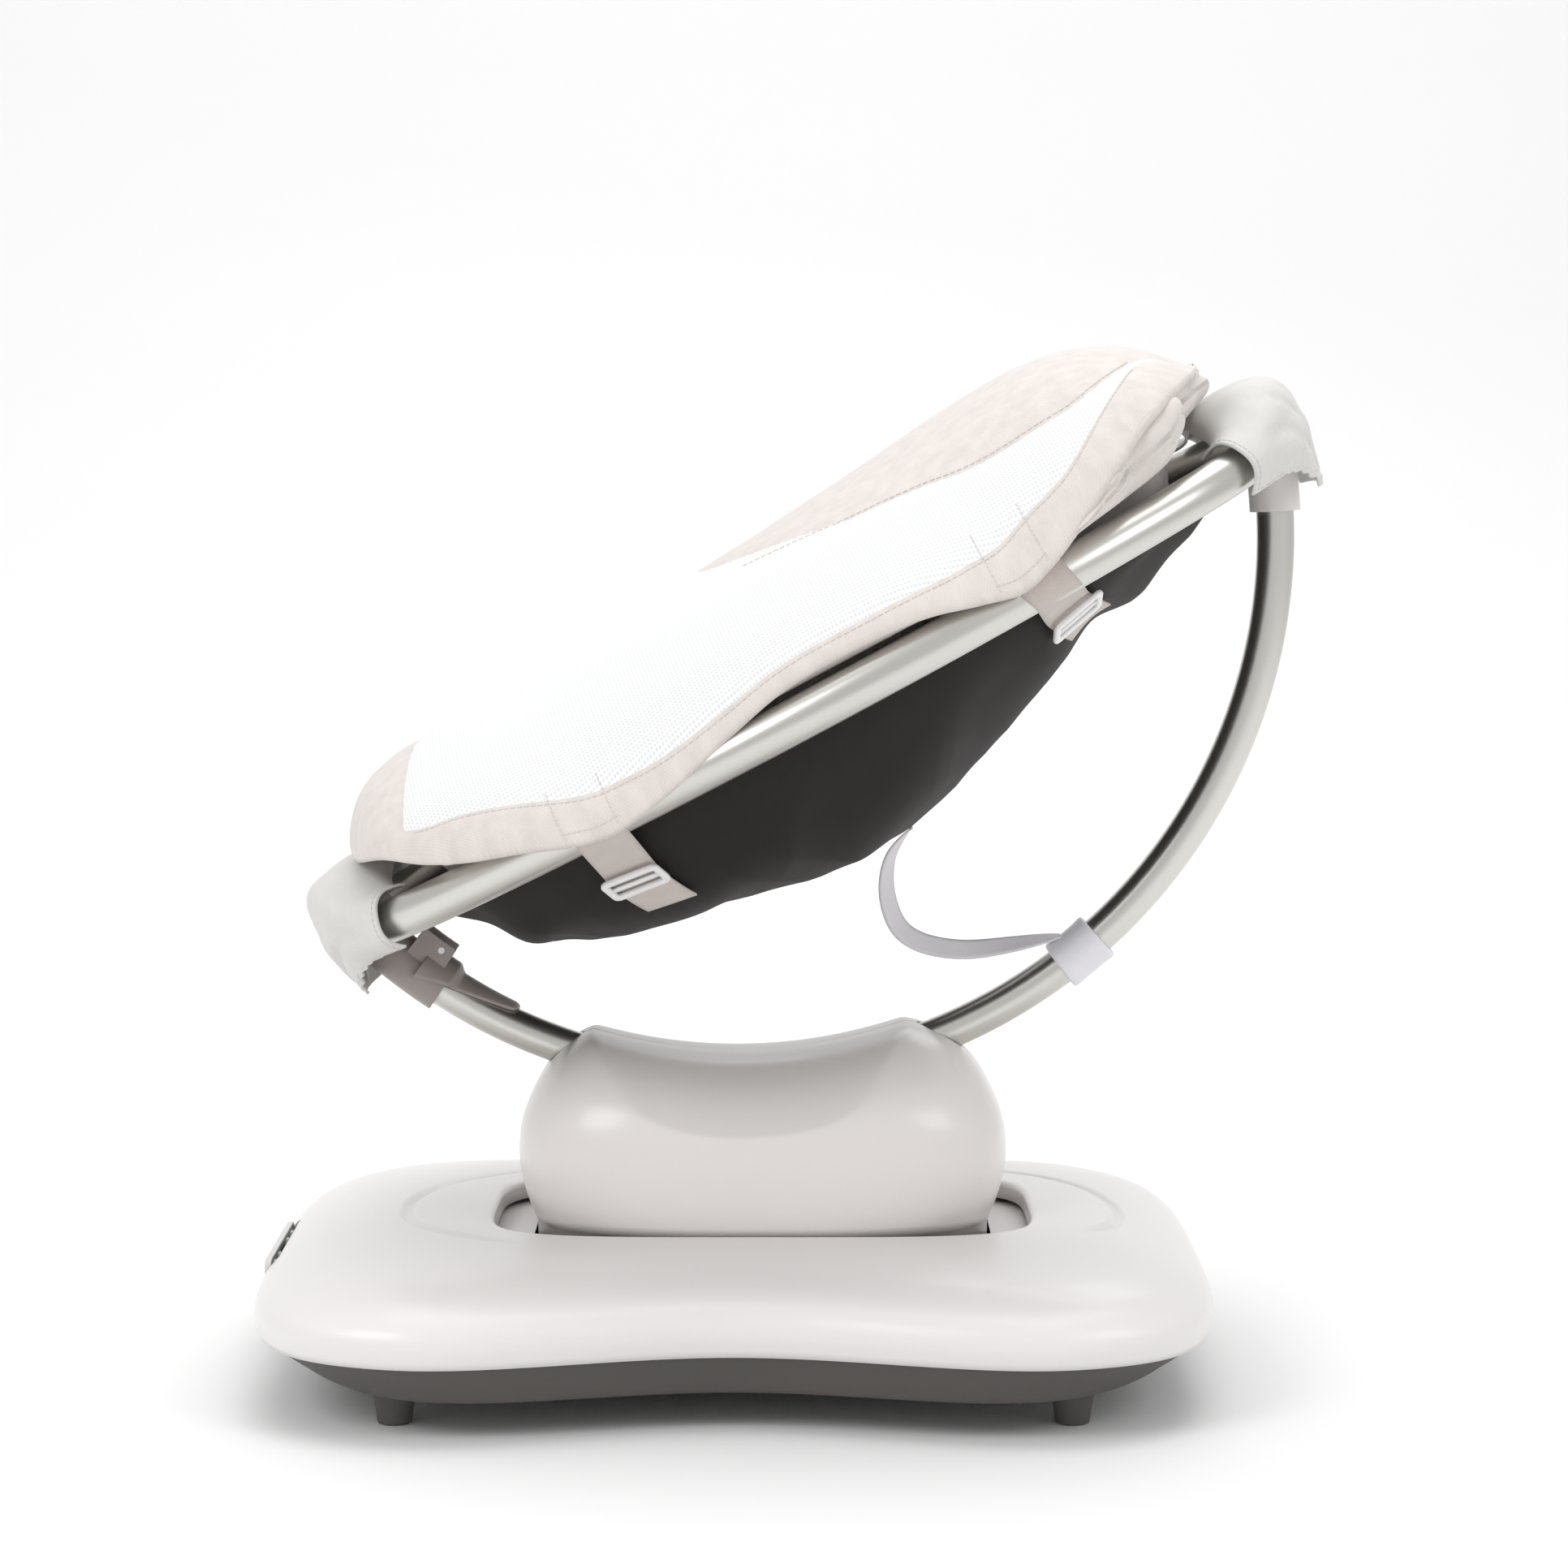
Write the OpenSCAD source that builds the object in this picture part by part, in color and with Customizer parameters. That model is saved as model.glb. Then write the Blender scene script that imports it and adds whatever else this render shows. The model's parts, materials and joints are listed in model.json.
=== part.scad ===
// Powered baby swing: a low base holds a gliding and lifting tower, a curved tube
// runs through the tower and carries an oval seat ring with its fabric.
// Millimetres, +Z up, +X towards the head end, seat symmetric about Y = 0.
// The origin is on the floor, under the middle of the whole swing.

/* [Base] */
// Distance of the base's centre from the origin, towards the head end
base_x = -35; // [-40:1:-15]
// Half of the base's length
base_half_l = 279; // [260:1:345]
// Half of the base's depth at its four lobes, before the corners round off
base_half_d = 235; // [215:1:285]
// How much shallower the base is in the middle of its long sides
base_waist = 39; // [0:1:60]
// Height of the seam between cover and pan
rim_z = 45; // [42:1:52]
// Height of the cover's crown
crown_z = 94; // [88:1:100]
// Height of the pan's underside, which is the height of the feet
pan_z = 22; // [18:1:26]
// Wall of the cover and of the pan
base_wall = 3; // [2:0.5:4]
// Feet from the middle, along X
foot_dx = 194; // [160:1:210]
// Feet from the middle, along Y
foot_dy = 164; // [120:1:180]
// Foot diameter at the floor
foot_d = 17; // [14:1:24]

/* [Tower] */
// Distance of the tower's centre from the base's centre
tower_dx = 16; // [0:1:20]
// Half of the tower's length at its waistband
tower_half_l = 148; // [140:1:158]
// Half of the tower's depth
tower_half_d = 95; // [90:1:104]
// Wall of the tower's shells
tower_wall = 3; // [2:0.5:4]

/* [Drive] */
// Side-to-side glide, each way from the middle
glide_travel = 22; // [10:1:22]
// Lift of the tower
lift_travel = 28; // [10:1:28]
// Diameter of the two glide rails
rail_d = 10; // [8:0.5:12]
// Distance of a glide rail from the middle
rail_dy = 70; // [66:1:74]
// Diameter of the four lift posts
post_d = 10; // [8:0.5:12]
// Diameter of the lift screw
screw_d = 12; // [10:0.5:14]
// Pitch of the lift screw
screw_pitch = 4; // [2:0.5:8]
// Teeth of the glide pinion
pinion_teeth = 18; // [17:1:20]
// Module of the glide pinion and rack
gear_module = 1.5; // [1.25:0.05:1.6]
// Radial clearance of running fits
run_fit = 0.06; // [0.04:0.01:0.1]

/* [Seat tubes] */
// Height of the centre about which the curved tube turns
bow_z = 498; // [490:1:540]
// Radius of the curved tube, to its centreline
bow_r = 324; // [318:1:330]
// Diameter of the curved tube
bow_d = 22.5; // [20:0.5:24]
// Tilt of the seat at rest
seat_tilt = 28.2; // [20:0.1:32]
// Recline from rest, towards lying flat
recline_back = 22; // [5:1:22]
// Half of the seat ring's length, to its centreline
ring_half_l = 309; // [290:1:320]
// Radius of the seat ring's two ends
ring_end_r = 160; // [140:1:175]
// Radius of the seat ring's two sides
ring_side_r = 434; // [400:1:470]
// Diameter of the seat ring's tube
ring_d = 25.4; // [22:0.1:28]
// Wall of all the seat's tubes
tube_wall = 1.5; // [1:0.1:2.5]

/* [Fabric] */
// Depth of the sling under the ring
sling_depth = 100; // [70:1:103]
// Height of the pad's crown above the ring
pad_crown = 108; // [70:1:112]
// Width of the side straps
strap_w = 30; // [20:1:40]

/* [Controls] */
// Diameter of a push-button
button_d = 13; // [10:0.5:15]
// Travel of a push-button
button_travel = 1.2; // [0.5:0.1:2]
// Distance between the push-buttons
button_gap = 22; // [18:1:26]

/* [Hidden] */

// ---- colours
cover_white = "#ede9e8";
tower_white = "#e9e5e2";
pan_grey = "#55504d";
part_grey = "#8c8c8c";
steel = "#b4b7bb";
alloy = "#c9c9c3";
black_cloth = "#231c1a";
pad_white = "#f1f1f1";
hood_grey = "#dcdbd7";
webbing = "#d3c9c2";
handle_grey = "#8d8179";

// ---- places shared by several pieces
tower_x = base_x + tower_dx;
ring_n = -sqrt(bow_r * bow_r - ring_half_l * ring_half_l);   // ring plane, below the turning centre
ring_end_s = ring_half_l - ring_end_r;                       // centres of the end arcs
ring_off = sqrt(pow(ring_side_r - ring_end_r, 2) - ring_end_s * ring_end_s);
ring_half_w = ring_side_r - ring_off;
ring_join = atan(ring_end_s / ring_off);                     // where a side arc meets an end arc
hub_phi = atan(ring_half_l / -ring_n);                       // ring ends, seen from the turning centre
pan_top = pan_z + base_wall;
rail_z = pan_top + 12;
plate_z = rail_z + 9;
plate_t = 3.5;
skirt_z = plate_z + plate_t + 1.5;
seam_z = crown_z - 2;
skirt_l = tower_half_l - 11;
skirt_d = tower_half_d - 1;
slot_gap = 1.5;
slot_l = skirt_l + glide_travel + 2;
shutter_z = skirt_z + lift_travel - 1;
shutter_t = 2;
platform_z = seam_z + 4;
platform_t = 6;
saddle_r = bow_r - bow_d / 2 - 4.75;
passage_r = bow_d / 2 + 0.9;
post_dx = 70;
post_dy = 45;
roller_r = 8;
roller_gap = 0.3;
roller_c = bow_r + bow_d / 2 + roller_gap + roller_r;
roller_phi = [-8.2, 13.8];
cradle_y = 14;
cradle_t = 4;
smooth = 96;

// ---- shapes shared by several pieces

// Radius of a rounded rectangle with superellipse corners, at a given angle
function se_r(a, b, p, t) = pow(pow(abs(cos(t)) / a, p) + pow(abs(sin(t)) / b, p), -1 / p);
function ease(u) = let (v = min(1, max(0, u))) v * v * (3 - 2 * v);

// One closed outline of the base, moved in by inset
function base_ring(inset_x, inset_y, z, count = 88) = [
    for (i = [0:count - 1])
        let (t = 360 * i / count, r = se_r(base_half_l - inset_x, base_half_d - inset_y, 4.7, t))
        let (x = r * cos(t), k = base_waist / base_half_d * (1 - ease(abs(x) / 195)))
        [base_x + x, r * sin(t) * (1 - k), z]
];

// One closed outline of the tower
function tower_ring(l, d, z, count = 72) = [
    for (i = [0:count - 1])
        let (t = 360 * i / count, r = se_r(l, d, 3.2, t))
        [tower_x + r * cos(t), r * sin(t), z]
];

// A closed skin through rings that all have the same number of points. Its ends are flat caps,
// or fans about their middles, or the last ring joins the first again.
module loft(rings, fan = false, closed = false) {
    count = len(rings[0]);
    last = len(rings) - 1;
    middle = [for (r = [rings[0], rings[last]]) r[0] / 2 + r[floor(count / 2)] / 2];
    points = concat([for (r = rings) for (p = r) p], middle);
    sides = [
        for (k = [0:closed ? last : last - 1]) for (i = [0:count - 1])
            let (a = k * count + i, b = k * count + (i + 1) % count)
            let (c = (k + 1) % (last + 1) * count + i, d = (k + 1) % (last + 1) * count + (i + 1) % count)
            each [[a, d, b], [a, c, d]]
    ];
    first_middle = (last + 1) * count;
    flat_caps = [[for (i = [0:count - 1]) i], [for (i = [count - 1:-1:0]) last * count + i]];
    fan_caps = [for (i = [0:count - 1]) each [
        [first_middle, i, (i + 1) % count],
        [first_middle + 1, last * count + (i + 1) % count, last * count + i]]];
    polyhedron(closed || !fan ? [for (i = [0:first_middle - 1]) points[i]] : points,
        concat(sides, closed ? [] : fan ? fan_caps : flat_caps), convexity = 6);
}

module at_turning_centre() { translate([base_x, 0, bow_z]) children(); }

// The seat's own frame: X along the seat to its head, Z square to the seat, turning centre at 0
module in_seat() { at_turning_centre() rotate([0, -seat_tilt, 0]) children(); }

// Turns a 2-D outline about the Y axis, from angle a to b measured from straight down towards +X.
// The outline's X is the radius and its Y is the place along the axis.
module turn_about_y(a, b) {
    rotate([90, 0, 0]) rotate([0, 0, a - 90])
        rotate_extrude(angle = b - a, $fn = 180) children();
}

module tube_outline(d, bore) {
    difference() { circle(d = d, $fn = 48); if (bore > 0) circle(d = bore, $fn = 48); }
}

module bow_arc(a, b, d, bore = 0) { turn_about_y(a, b) translate([bow_r, 0]) tube_outline(d, bore); }

module at_lift_posts() { for (x = [-1, 1], y = [-1, 1]) translate([tower_x + x * post_dx, y * post_dy, 0]) children(); }

module rounded_plate(l, d, r) {
    for (turn = [0, 1]) square([2 * (l - turn * r), 2 * (d - (1 - turn) * r)], center = true);
    for (x = [-1, 1], y = [-1, 1]) translate([x * (l - r), y * (d - r)]) circle(r, $fn = 48);
}

// ---- base

cover_screw_dx = 170;
cover_screw_dy = 128;
module at_cover_screws() { for (x = [-1:1], y = [-1, 1]) translate([base_x + x * cover_screw_dx, y * cover_screw_dy, 0]) children(); }
module at_feet() { for (x = [-1, 1], y = [-1, 1]) translate([base_x + x * foot_dx, y * foot_dy, 0]) children(); }

inlet_d = 5.5;
inlet_z = 34;
inlet_y = base_half_d - base_waist - 5;

module base_pan() color(pan_grey) {
    w = base_wall;
    difference() {
            loft([
                base_ring(44, 12, pan_z), base_ring(30, 9, pan_z + 5), base_ring(16, 6, rim_z - 9),
                base_ring(5, 2.5, rim_z - 2), base_ring(3, 2, rim_z),
                base_ring(3 + w, 2 + w, rim_z), base_ring(18 + w, 6 + w, rim_z - 8),
                base_ring(46 + w, 12 + w, pan_top)
            ]);
        at_cover_screws() translate([0, 0, pan_z - 1]) cylinder(d = 4.6, h = base_wall + 2, $fn = 48);
        at_feet() translate([0, 0, pan_z - 1]) cylinder(d = 6.2, h = base_wall + 2, $fn = 48);
        translate([base_x, inlet_y, inlet_z]) rotate([-90, 0, 0]) cylinder(d = 11.2, h = 30, center = true, $fn = 48);
    }
}

cover_in = [[0, 0], [-3, 12], [-1, 22], [5, 31], [15, 38], [32, 43.5], [60, 47], [105, 49]];

module base_cover() color(cover_white) {
    scale_z = (crown_z - rim_z) / 49;
    w = base_wall;
    difference() {
        union() {
            loft(concat(
                [for (i = [7:-1:0]) base_ring(cover_in[i][0] + w, cover_in[i][0] + w,
                    rim_z + cover_in[i][1] * scale_z - (i == 0 ? 0 : w * min(1, i / 4)))],
                [for (i = [0:7]) base_ring(cover_in[i][0], cover_in[i][0], rim_z + cover_in[i][1] * scale_z)]
            ));
            at_cover_screws() translate([0, 0, pan_top + 0.2]) cylinder(d = 12, h = crown_z - pan_top - 2.6, $fn = 48);
        }
        translate([tower_x, 0, shutter_z]) linear_extrude(40) rounded_plate(slot_l, skirt_d + slot_gap, 60);
        at_cover_screws() translate([0, 0, pan_top - 1]) cylinder(d = 4.1, h = 24, $fn = 48);
        translate([base_x - base_half_l - 8, 0, rim_z + 17.5]) rotate([90, 0, 90])
            linear_extrude(16) rounded_plate(fascia_l + 0.3, fascia_h + 0.3, 6);
    }
}

module foot() {
    color(pan_grey) {
        cylinder(d1 = foot_d, d2 = foot_d + 7, h = pan_z, $fn = smooth);
        translate([0, 0, pan_z]) cylinder(d = 6, h = base_wall + 3, $fn = 48);
    }
}
module at_foot(x, y) { translate([base_x + x * foot_dx, y * foot_dy, 0]) children(); }
module foot_front_left() { at_foot(-1, -1) foot(); }
module foot_front_right() { at_foot(1, -1) foot(); }
module foot_rear_left() { at_foot(-1, 1) foot(); }
module foot_rear_right() { at_foot(1, 1) foot(); }

module cover_screws() color(steel) at_cover_screws() difference() {
    union() {
        translate([0, 0, pan_z - 2.6]) cylinder(d = 8, h = 2.6, $fn = 48);
        translate([0, 0, pan_z]) cylinder(d = 4, h = 20, $fn = 48);
    }
    translate([0, 0, pan_z - 3]) cylinder(d = 3, h = 2, $fn = 6);
}

rail_half = 148;
module rail(y) { color(steel) translate([tower_x - rail_half, y * rail_dy, rail_z]) rotate([0, 90, 0])
    cylinder(d = rail_d, h = 2 * rail_half, $fn = 48); }
module rail_front() { rail(-1); }
module rail_rear() { rail(1); }

module rail_blocks() color(part_grey) for (x = [-1, 1], y = [-1, 1])
    translate([tower_x + x * (rail_half - 8), y * rail_dy, 0]) difference() {
        translate([-8, -11, pan_top]) cube([16, 22, rail_z + rail_d / 2 + 3 - pan_top]);
        translate([-9, 0, rail_z]) rotate([0, 90, 0]) cylinder(d = rail_d + 0.1, h = 18, $fn = 48);
    }

// ---- glide drive: a pinion on the base turns against a rack on the carriage

pitch_r = pinion_teeth * gear_module / 2;
rack_y = 30;
pinion_y = rack_y + gear_module * 4 + pitch_r;
gear_z = pan_top + 13;
gear_t = 7;

module glide_motor() color(part_grey) translate([tower_x, pinion_y, 0]) {
    translate([0, 0, pan_top]) cylinder(d = 20, h = 11, $fn = 64);
    translate([-14, -4, pan_top]) cube([28, 8, 4]);
    translate([0, 0, pan_top + 11]) cylinder(d = 5, h = 9, $fn = 48);
}

// Points of an involute flank, from the base circle to the tip, at a half-thickness angle
base_r = pitch_r * cos(20);
tip_r = pitch_r + gear_module * 0.92;
root_r = pitch_r - gear_module * 1.25;
function inv_deg(r) = let (a = acos(base_r / r)) tan(a) * 180 / PI - a;
flank = [for (k = [0:4]) base_r + (tip_r - base_r) * k / 4];
half_tooth = 90 / pinion_teeth - 0.6;
function flank_deg(r) = half_tooth + inv_deg(pitch_r) - inv_deg(r);

module glide_pinion() color(pad_white) translate([tower_x, pinion_y, gear_z]) difference() {
    union() {
        linear_extrude(gear_t) polygon([
            for (i = [0:pinion_teeth - 1]) let (c = i * 360 / pinion_teeth - 90) each concat(
                [let (a = c - flank_deg(base_r)) root_r * [cos(a), sin(a)]],
                [for (r = flank) let (a = c - flank_deg(r)) r * [cos(a), sin(a)]],
                [for (k = [4:-1:0]) let (r = flank[k], a = c + flank_deg(r)) r * [cos(a), sin(a)]],
                [let (a = c + flank_deg(base_r)) root_r * [cos(a), sin(a)]])
        ]);
        cylinder(r = root_r - 3, h = gear_t + 1, $fn = 64);
    }
    translate([0, 0, -1]) cylinder(d = 5 + 2 * run_fit, h = gear_t + 3, $fn = 48);
}

rack_teeth = 14;
module glide_rack() color(part_grey) {
    pitch = PI * gear_module;
    pitch_y = pinion_y - pitch_r;
    w = pitch / 4 - 0.12;
    translate([tower_x, 0, gear_z - 0.5]) linear_extrude(plate_z - gear_z + 0.5) polygon(concat(
        [[-rack_teeth * pitch / 2, rack_y], [rack_teeth * pitch / 2, rack_y]],
        [for (i = [rack_teeth - 1:-1:0]) let (x = (i - (rack_teeth - 1) / 2) * pitch) each [
            [x + w + 1.25 * gear_module * tan(20), pitch_y - 1.25 * gear_module],
            [x + w - 0.92 * gear_module * tan(20), pitch_y + 0.92 * gear_module],
            [x - w + 0.92 * gear_module * tan(20), pitch_y + 0.92 * gear_module],
            [x - w - 1.25 * gear_module * tan(20), pitch_y - 1.25 * gear_module]]]));
}

// ---- carriage

bush_l = 30;
bush_dx = 85;
plate_l = 105;
seat_fit = 0.05;
leg_x = 90;
leg_y = skirt_d + 5.5;

module carriage_plate() color(steel) difference() {
    translate([tower_x, 0, plate_z]) linear_extrude(plate_t) rounded_plate(plate_l, leg_y + 5, 12);
    at_lift_posts() translate([0, 0, plate_z - 1]) cylinder(d = post_d + 2 * seat_fit, h = plate_t + 2, $fn = 48);
    translate([tower_x, 0, plate_z - 1]) cylinder(d = screw_d + 6 + 2 * seat_fit, h = plate_t + 2, $fn = 48);
}

module slide_bushes() color(part_grey) for (x = [-1, 1], y = [-1, 1])
    translate([tower_x + x * bush_dx, y * rail_dy, 0]) difference() {
        translate([-bush_l / 2, -10, rail_z - rail_d / 2 - 3]) cube([bush_l, 20, plate_z - rail_z + rail_d / 2 + 3]);
        translate([-bush_l, 0, rail_z]) rotate([0, 90, 0]) cylinder(d = rail_d + 2 * run_fit, h = 2 * bush_l, $fn = 48);
    }

post_top = platform_z + platform_t + lift_travel + 22;
module lift_posts() color(steel) at_lift_posts() translate([0, 0, plate_z])
    cylinder(d = post_d, h = post_top - plate_z, $fn = 48);

motor_d = 40;
module lift_motor() color(part_grey) translate([tower_x, 0, pan_top + 3])
    cylinder(d = motor_d, h = plate_z - pan_top - 3, $fn = smooth);

module screw_bearing() color(steel) translate([tower_x, 0, plate_z]) difference() {
    union() {
        cylinder(d = screw_d + 6, h = plate_t, $fn = 64);
        translate([0, 0, plate_t]) cylinder(d = screw_d + 14, h = 6, $fn = 64);
    }
    translate([0, 0, -1]) cylinder(d = screw_d + 2 * run_fit, h = plate_t + 8, $fn = 64);
}

module slot_shutter() color(cover_white) {
    difference() {
        translate([tower_x, 0, shutter_z]) linear_extrude(shutter_t)
            rounded_plate(slot_l + glide_travel + 2, leg_y + 6, 60);
        translate([tower_x, 0, shutter_z - 1]) linear_extrude(shutter_t + 2)
            rounded_plate(skirt_l + 1, skirt_d + 1, 54);
    }
    for (x = [-1, 1], y = [-1, 1]) translate([tower_x + x * leg_x, y * leg_y, plate_z + plate_t])
        cylinder(d = 6, h = shutter_z - plate_z - plate_t, $fn = 48);
}

// ---- lift screw, turned by the motor under the plate

module lift_screw() color(steel) translate([tower_x, 0, plate_z]) cylinder(d = screw_d, h = post_top - plate_z, $fn = 64);

// ---- tower

// Half-length and half-depth of the tower at heights above the seam
tower_shape = [[0, -11, -1], [14, -5, 0], [34, -0.5, 0], [50, -1, 0], [60, -3, -1.5], [70, -7, -5],
    [80, -12, -11], [90, -18, -20], [100, -27, -32], [108, -38, -45], [114, -52, -58]];

module tower_body(inset) {
    loft(concat(
        [tower_ring(skirt_l - inset, skirt_d - inset, skirt_z - (inset > 0 ? 1 : 0))],
        [for (s = tower_shape) tower_ring(tower_half_l + s[1] - inset, tower_half_d + s[2] - inset,
            seam_z + s[0] - (s[0] > 60 ? inset / 2 : 0))]));
}

// The saddle: a waisted spool about the turning axis, cut out of the tower's top
module saddle(extra) {
    turn_about_y(-60, 60) polygon([
        [200, -110], [saddle_r + extra + 34, -110], [saddle_r + extra + 34, -80], [saddle_r + extra + 22, -75],
        [saddle_r + extra + 13, -60], [saddle_r + extra + 4, -40], [saddle_r + extra, -18],
        [saddle_r + extra, 18], [saddle_r + extra + 4, 40], [saddle_r + extra + 13, 60],
        [saddle_r + extra + 22, 75], [saddle_r + extra + 34, 80], [saddle_r + extra + 34, 110], [200, 110]]);
}

tie_x = 108;
tie_y = 56;
module at_ties(y) { for (x = [-1, 1]) translate([tower_x + x * tie_x, y * tie_y, 0]) children(); }

half_gap = 0.1;
module tower_half(y) {
    color(tower_white) difference() {
        union() {
            difference() {
                tower_body(0);
                difference() { tower_body(tower_wall); at_turning_centre() saddle(4); }
            }
            at_ties(y) translate([0, 0, platform_z + platform_t]) cylinder(d = 10, h = 58, $fn = 48);
            for (x = [-1, 1]) translate([tower_x + x * (tie_x + 15.5), y * tie_y, platform_z + platform_t + 12])
                cube([27, 4, 24], center = true);
        }
        at_turning_centre() saddle(0);
        at_turning_centre() bow_arc(-40, 45, 2 * passage_r);
        translate([tower_x - 200, y > 0 ? half_gap - 200 : -half_gap, 0]) cube([400, 200, 400]);
        at_ties(y) translate([0, 0, platform_z]) cylinder(d = 4.1, h = 24, $fn = 48);
    }
}
module tower_front_shell() { tower_half(-1); }
module tower_rear_shell() { tower_half(1); }

module tower_platform() color(part_grey) difference() {
    translate([tower_x, 0, platform_z]) linear_extrude(platform_t) rounded_plate(tie_x + 12, tie_y + 14, 20);
    at_lift_posts() translate([0, 0, platform_z - 1]) cylinder(d = post_d + 6, h = platform_t + 2, $fn = 48);
    translate([tower_x, 0, platform_z - 1]) cylinder(d = screw_d + 8, h = platform_t + 2, $fn = 48);
    for (y = [-1, 1]) at_ties(y) translate([0, 0, platform_z - 1]) cylinder(d = 4.4, h = platform_t + 2, $fn = 48);
}

module post_bushes() color("#c8a45a") at_lift_posts() difference() {
    union() {
        translate([0, 0, platform_z - 3]) cylinder(d = post_d + 12, h = 3, $fn = 48);
        translate([0, 0, platform_z]) cylinder(d = post_d + 6, h = platform_t + 6, $fn = 48);
    }
    translate([0, 0, platform_z - 4]) cylinder(d = post_d + 2 * run_fit, h = platform_t + 14, $fn = 48);
}

module lift_nut() color("#c8a45a") translate([tower_x, 0, 0]) difference() {
    union() {
        translate([0, 0, platform_z - 4]) cylinder(d = screw_d + 18, h = 4, $fn = 64);
        translate([0, 0, platform_z]) cylinder(d = screw_d + 8, h = platform_t + 8, $fn = 64);
    }
    translate([0, 0, platform_z - 5]) cylinder(d = screw_d + 2 * run_fit, h = platform_t + 16, $fn = 64);
}

function roller_x(i) = base_x + roller_c * sin(roller_phi[i]);
function roller_z(i) = bow_z - roller_c * cos(roller_phi[i]);
pin_d = 6;

module bow_cradle() color(part_grey) difference() {
    for (y = [-1, 1]) translate([tower_x, y * (cradle_y + cradle_t / 2), 0]) {
        translate([-60, -cradle_t / 2, platform_z + platform_t]) cube([120, cradle_t, 72]);
        translate([-60, y > 0 ? -cradle_t / 2 : -cradle_t - 8, platform_z + platform_t]) cube([120, cradle_t + 10, 3]);
    }
    at_turning_centre() rotate([90, 0, 0]) cylinder(r = saddle_r + 6, h = 60, center = true, $fn = 180);
    for (i = [0, 1]) translate([roller_x(i), 0, roller_z(i)]) rotate([90, 0, 0])
        cylinder(d = pin_d, h = 60, center = true, $fn = 48);
    translate([tower_x, 0, platform_z]) cylinder(d = screw_d + 9, h = platform_t + 10, $fn = 64);
}

module roller_pins() color(steel) for (i = [0, 1]) translate([roller_x(i), 0, roller_z(i)]) rotate([90, 0, 0])
    cylinder(d = pin_d, h = 2 * (cradle_y + cradle_t) + 4, center = true, $fn = 48);

module tower_screws() color(steel) for (y = [-1, 1]) at_ties(y) {
    translate([0, 0, platform_z - 3]) cylinder(d = 8, h = 3, $fn = 48);
    translate([0, 0, platform_z]) cylinder(d = 4, h = 20, $fn = 48);
}

module guide_roller(i) {
    color(pan_grey) translate([roller_x(i), 0, roller_z(i)]) rotate([90, 0, 0])
        rotate_extrude($fn = 96) difference() {
            translate([pin_d / 2 + run_fit, -cradle_y + 1]) square([roller_r + 3 - pin_d / 2, 2 * cradle_y - 2]);
            translate([roller_r + bow_d / 2 + roller_gap, 0]) circle(d = bow_d + roller_gap, $fn = 64);
        }
}
module guide_roller_foot() { guide_roller(0); }
module guide_roller_head() { guide_roller(1); }

// ---- controls, on the base's foot end

fascia_l = 60;
fascia_h = 10;
fascia_x = base_x - base_half_l - 1.8;
button_z = rim_z + 17.5;
button_y = [-1.95, -0.95, 0.95, 1.95];
window_l = 11;
window_h = 6;

module control_fascia() color(handle_grey) difference() {
    translate([fascia_x, 0, button_z]) rotate([90, 0, 90]) linear_extrude(4) rounded_plate(fascia_l, fascia_h, 6);
    for (y = button_y) translate([fascia_x - 1, y * button_gap, button_z]) rotate([0, 90, 0])
        cylinder(d = button_d + 0.4, h = 6, $fn = 48);
    translate([fascia_x - 1, 0, button_z]) rotate([90, 0, 90]) linear_extrude(6) rounded_plate(window_l, window_h, 2);
}

module display_window() color(pan_grey) translate([fascia_x + 0.5, 0, button_z]) rotate([90, 0, 90])
    linear_extrude(3) rounded_plate(window_l - 0.1, window_h - 0.1, 2);

module button(y) {
    color(pad_white) translate([fascia_x - 1.5, y * button_gap, button_z]) rotate([0, 90, 0]) {
        cylinder(d = button_d, h = 6, $fn = 64);
        translate([0, 0, 6]) cylinder(d = button_d + 2, h = 1.2, $fn = 64);
    }
}
module button_power() { button(button_y[0]); }
module button_motion() { button(button_y[1]); }
module button_speed() { button(button_y[2]); }
module button_sound() { button(button_y[3]); }

module control_board() color("#3c6e47") {
    translate([fascia_x + 9, -fascia_l + 4, rim_z + 8]) cube([1.6, 2 * fascia_l - 8, 18]);
    for (y = button_y) translate([fascia_x + 7.2, y * button_gap, button_z]) rotate([0, 90, 0])
        cylinder(d = 5, h = 2, $fn = 32);
}

module dc_inlet() color("#2a2a2a") translate([base_x, inlet_y, inlet_z]) rotate([-90, 0, 0]) {
    difference() {
        translate([0, 0, -9]) cylinder(d = 11, h = 12, $fn = 64);
        translate([0, 0, -7]) cylinder(d = inlet_d, h = 12, $fn = 64);
    }
    translate([0, 0, -8]) cylinder(d = 2.1, h = 9, $fn = 48);
}

// ---- seat tubes

module bow_tube() color(alloy) in_seat()
    bow_arc(-hub_phi + 2.6, hub_phi - 2.6, bow_d, bow_d - 2 * tube_wall);

// The centreline of the ring's near half from the foot end to the head end: place and direction
ring_gap = 0.1;
function arc_path(centre, r, a, b, steps, z0 = 0) = [for (i = [z0:steps]) let (t = a + (b - a) * i / steps)
    [centre + r * [cos(t), sin(t)], t]];
ring_path = concat(
    arc_path([-ring_end_s, 0], ring_end_r, 180 + ring_gap, 270 - ring_join, 12),
    arc_path([0, ring_off], ring_side_r, 270 - ring_join, 270 + ring_join, 14, 1),
    arc_path([ring_end_s, 0], ring_end_r, 270 + ring_join, 360 - ring_gap, 12, 1));
function ring_section(p, d, sides = 20) = [for (i = [0:sides - 1]) let (a = 360 * i / sides)
    [p[0][0] + d / 2 * cos(a) * cos(p[1]), p[0][1] + d / 2 * cos(a) * sin(p[1]), d / 2 * sin(a)]];

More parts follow.
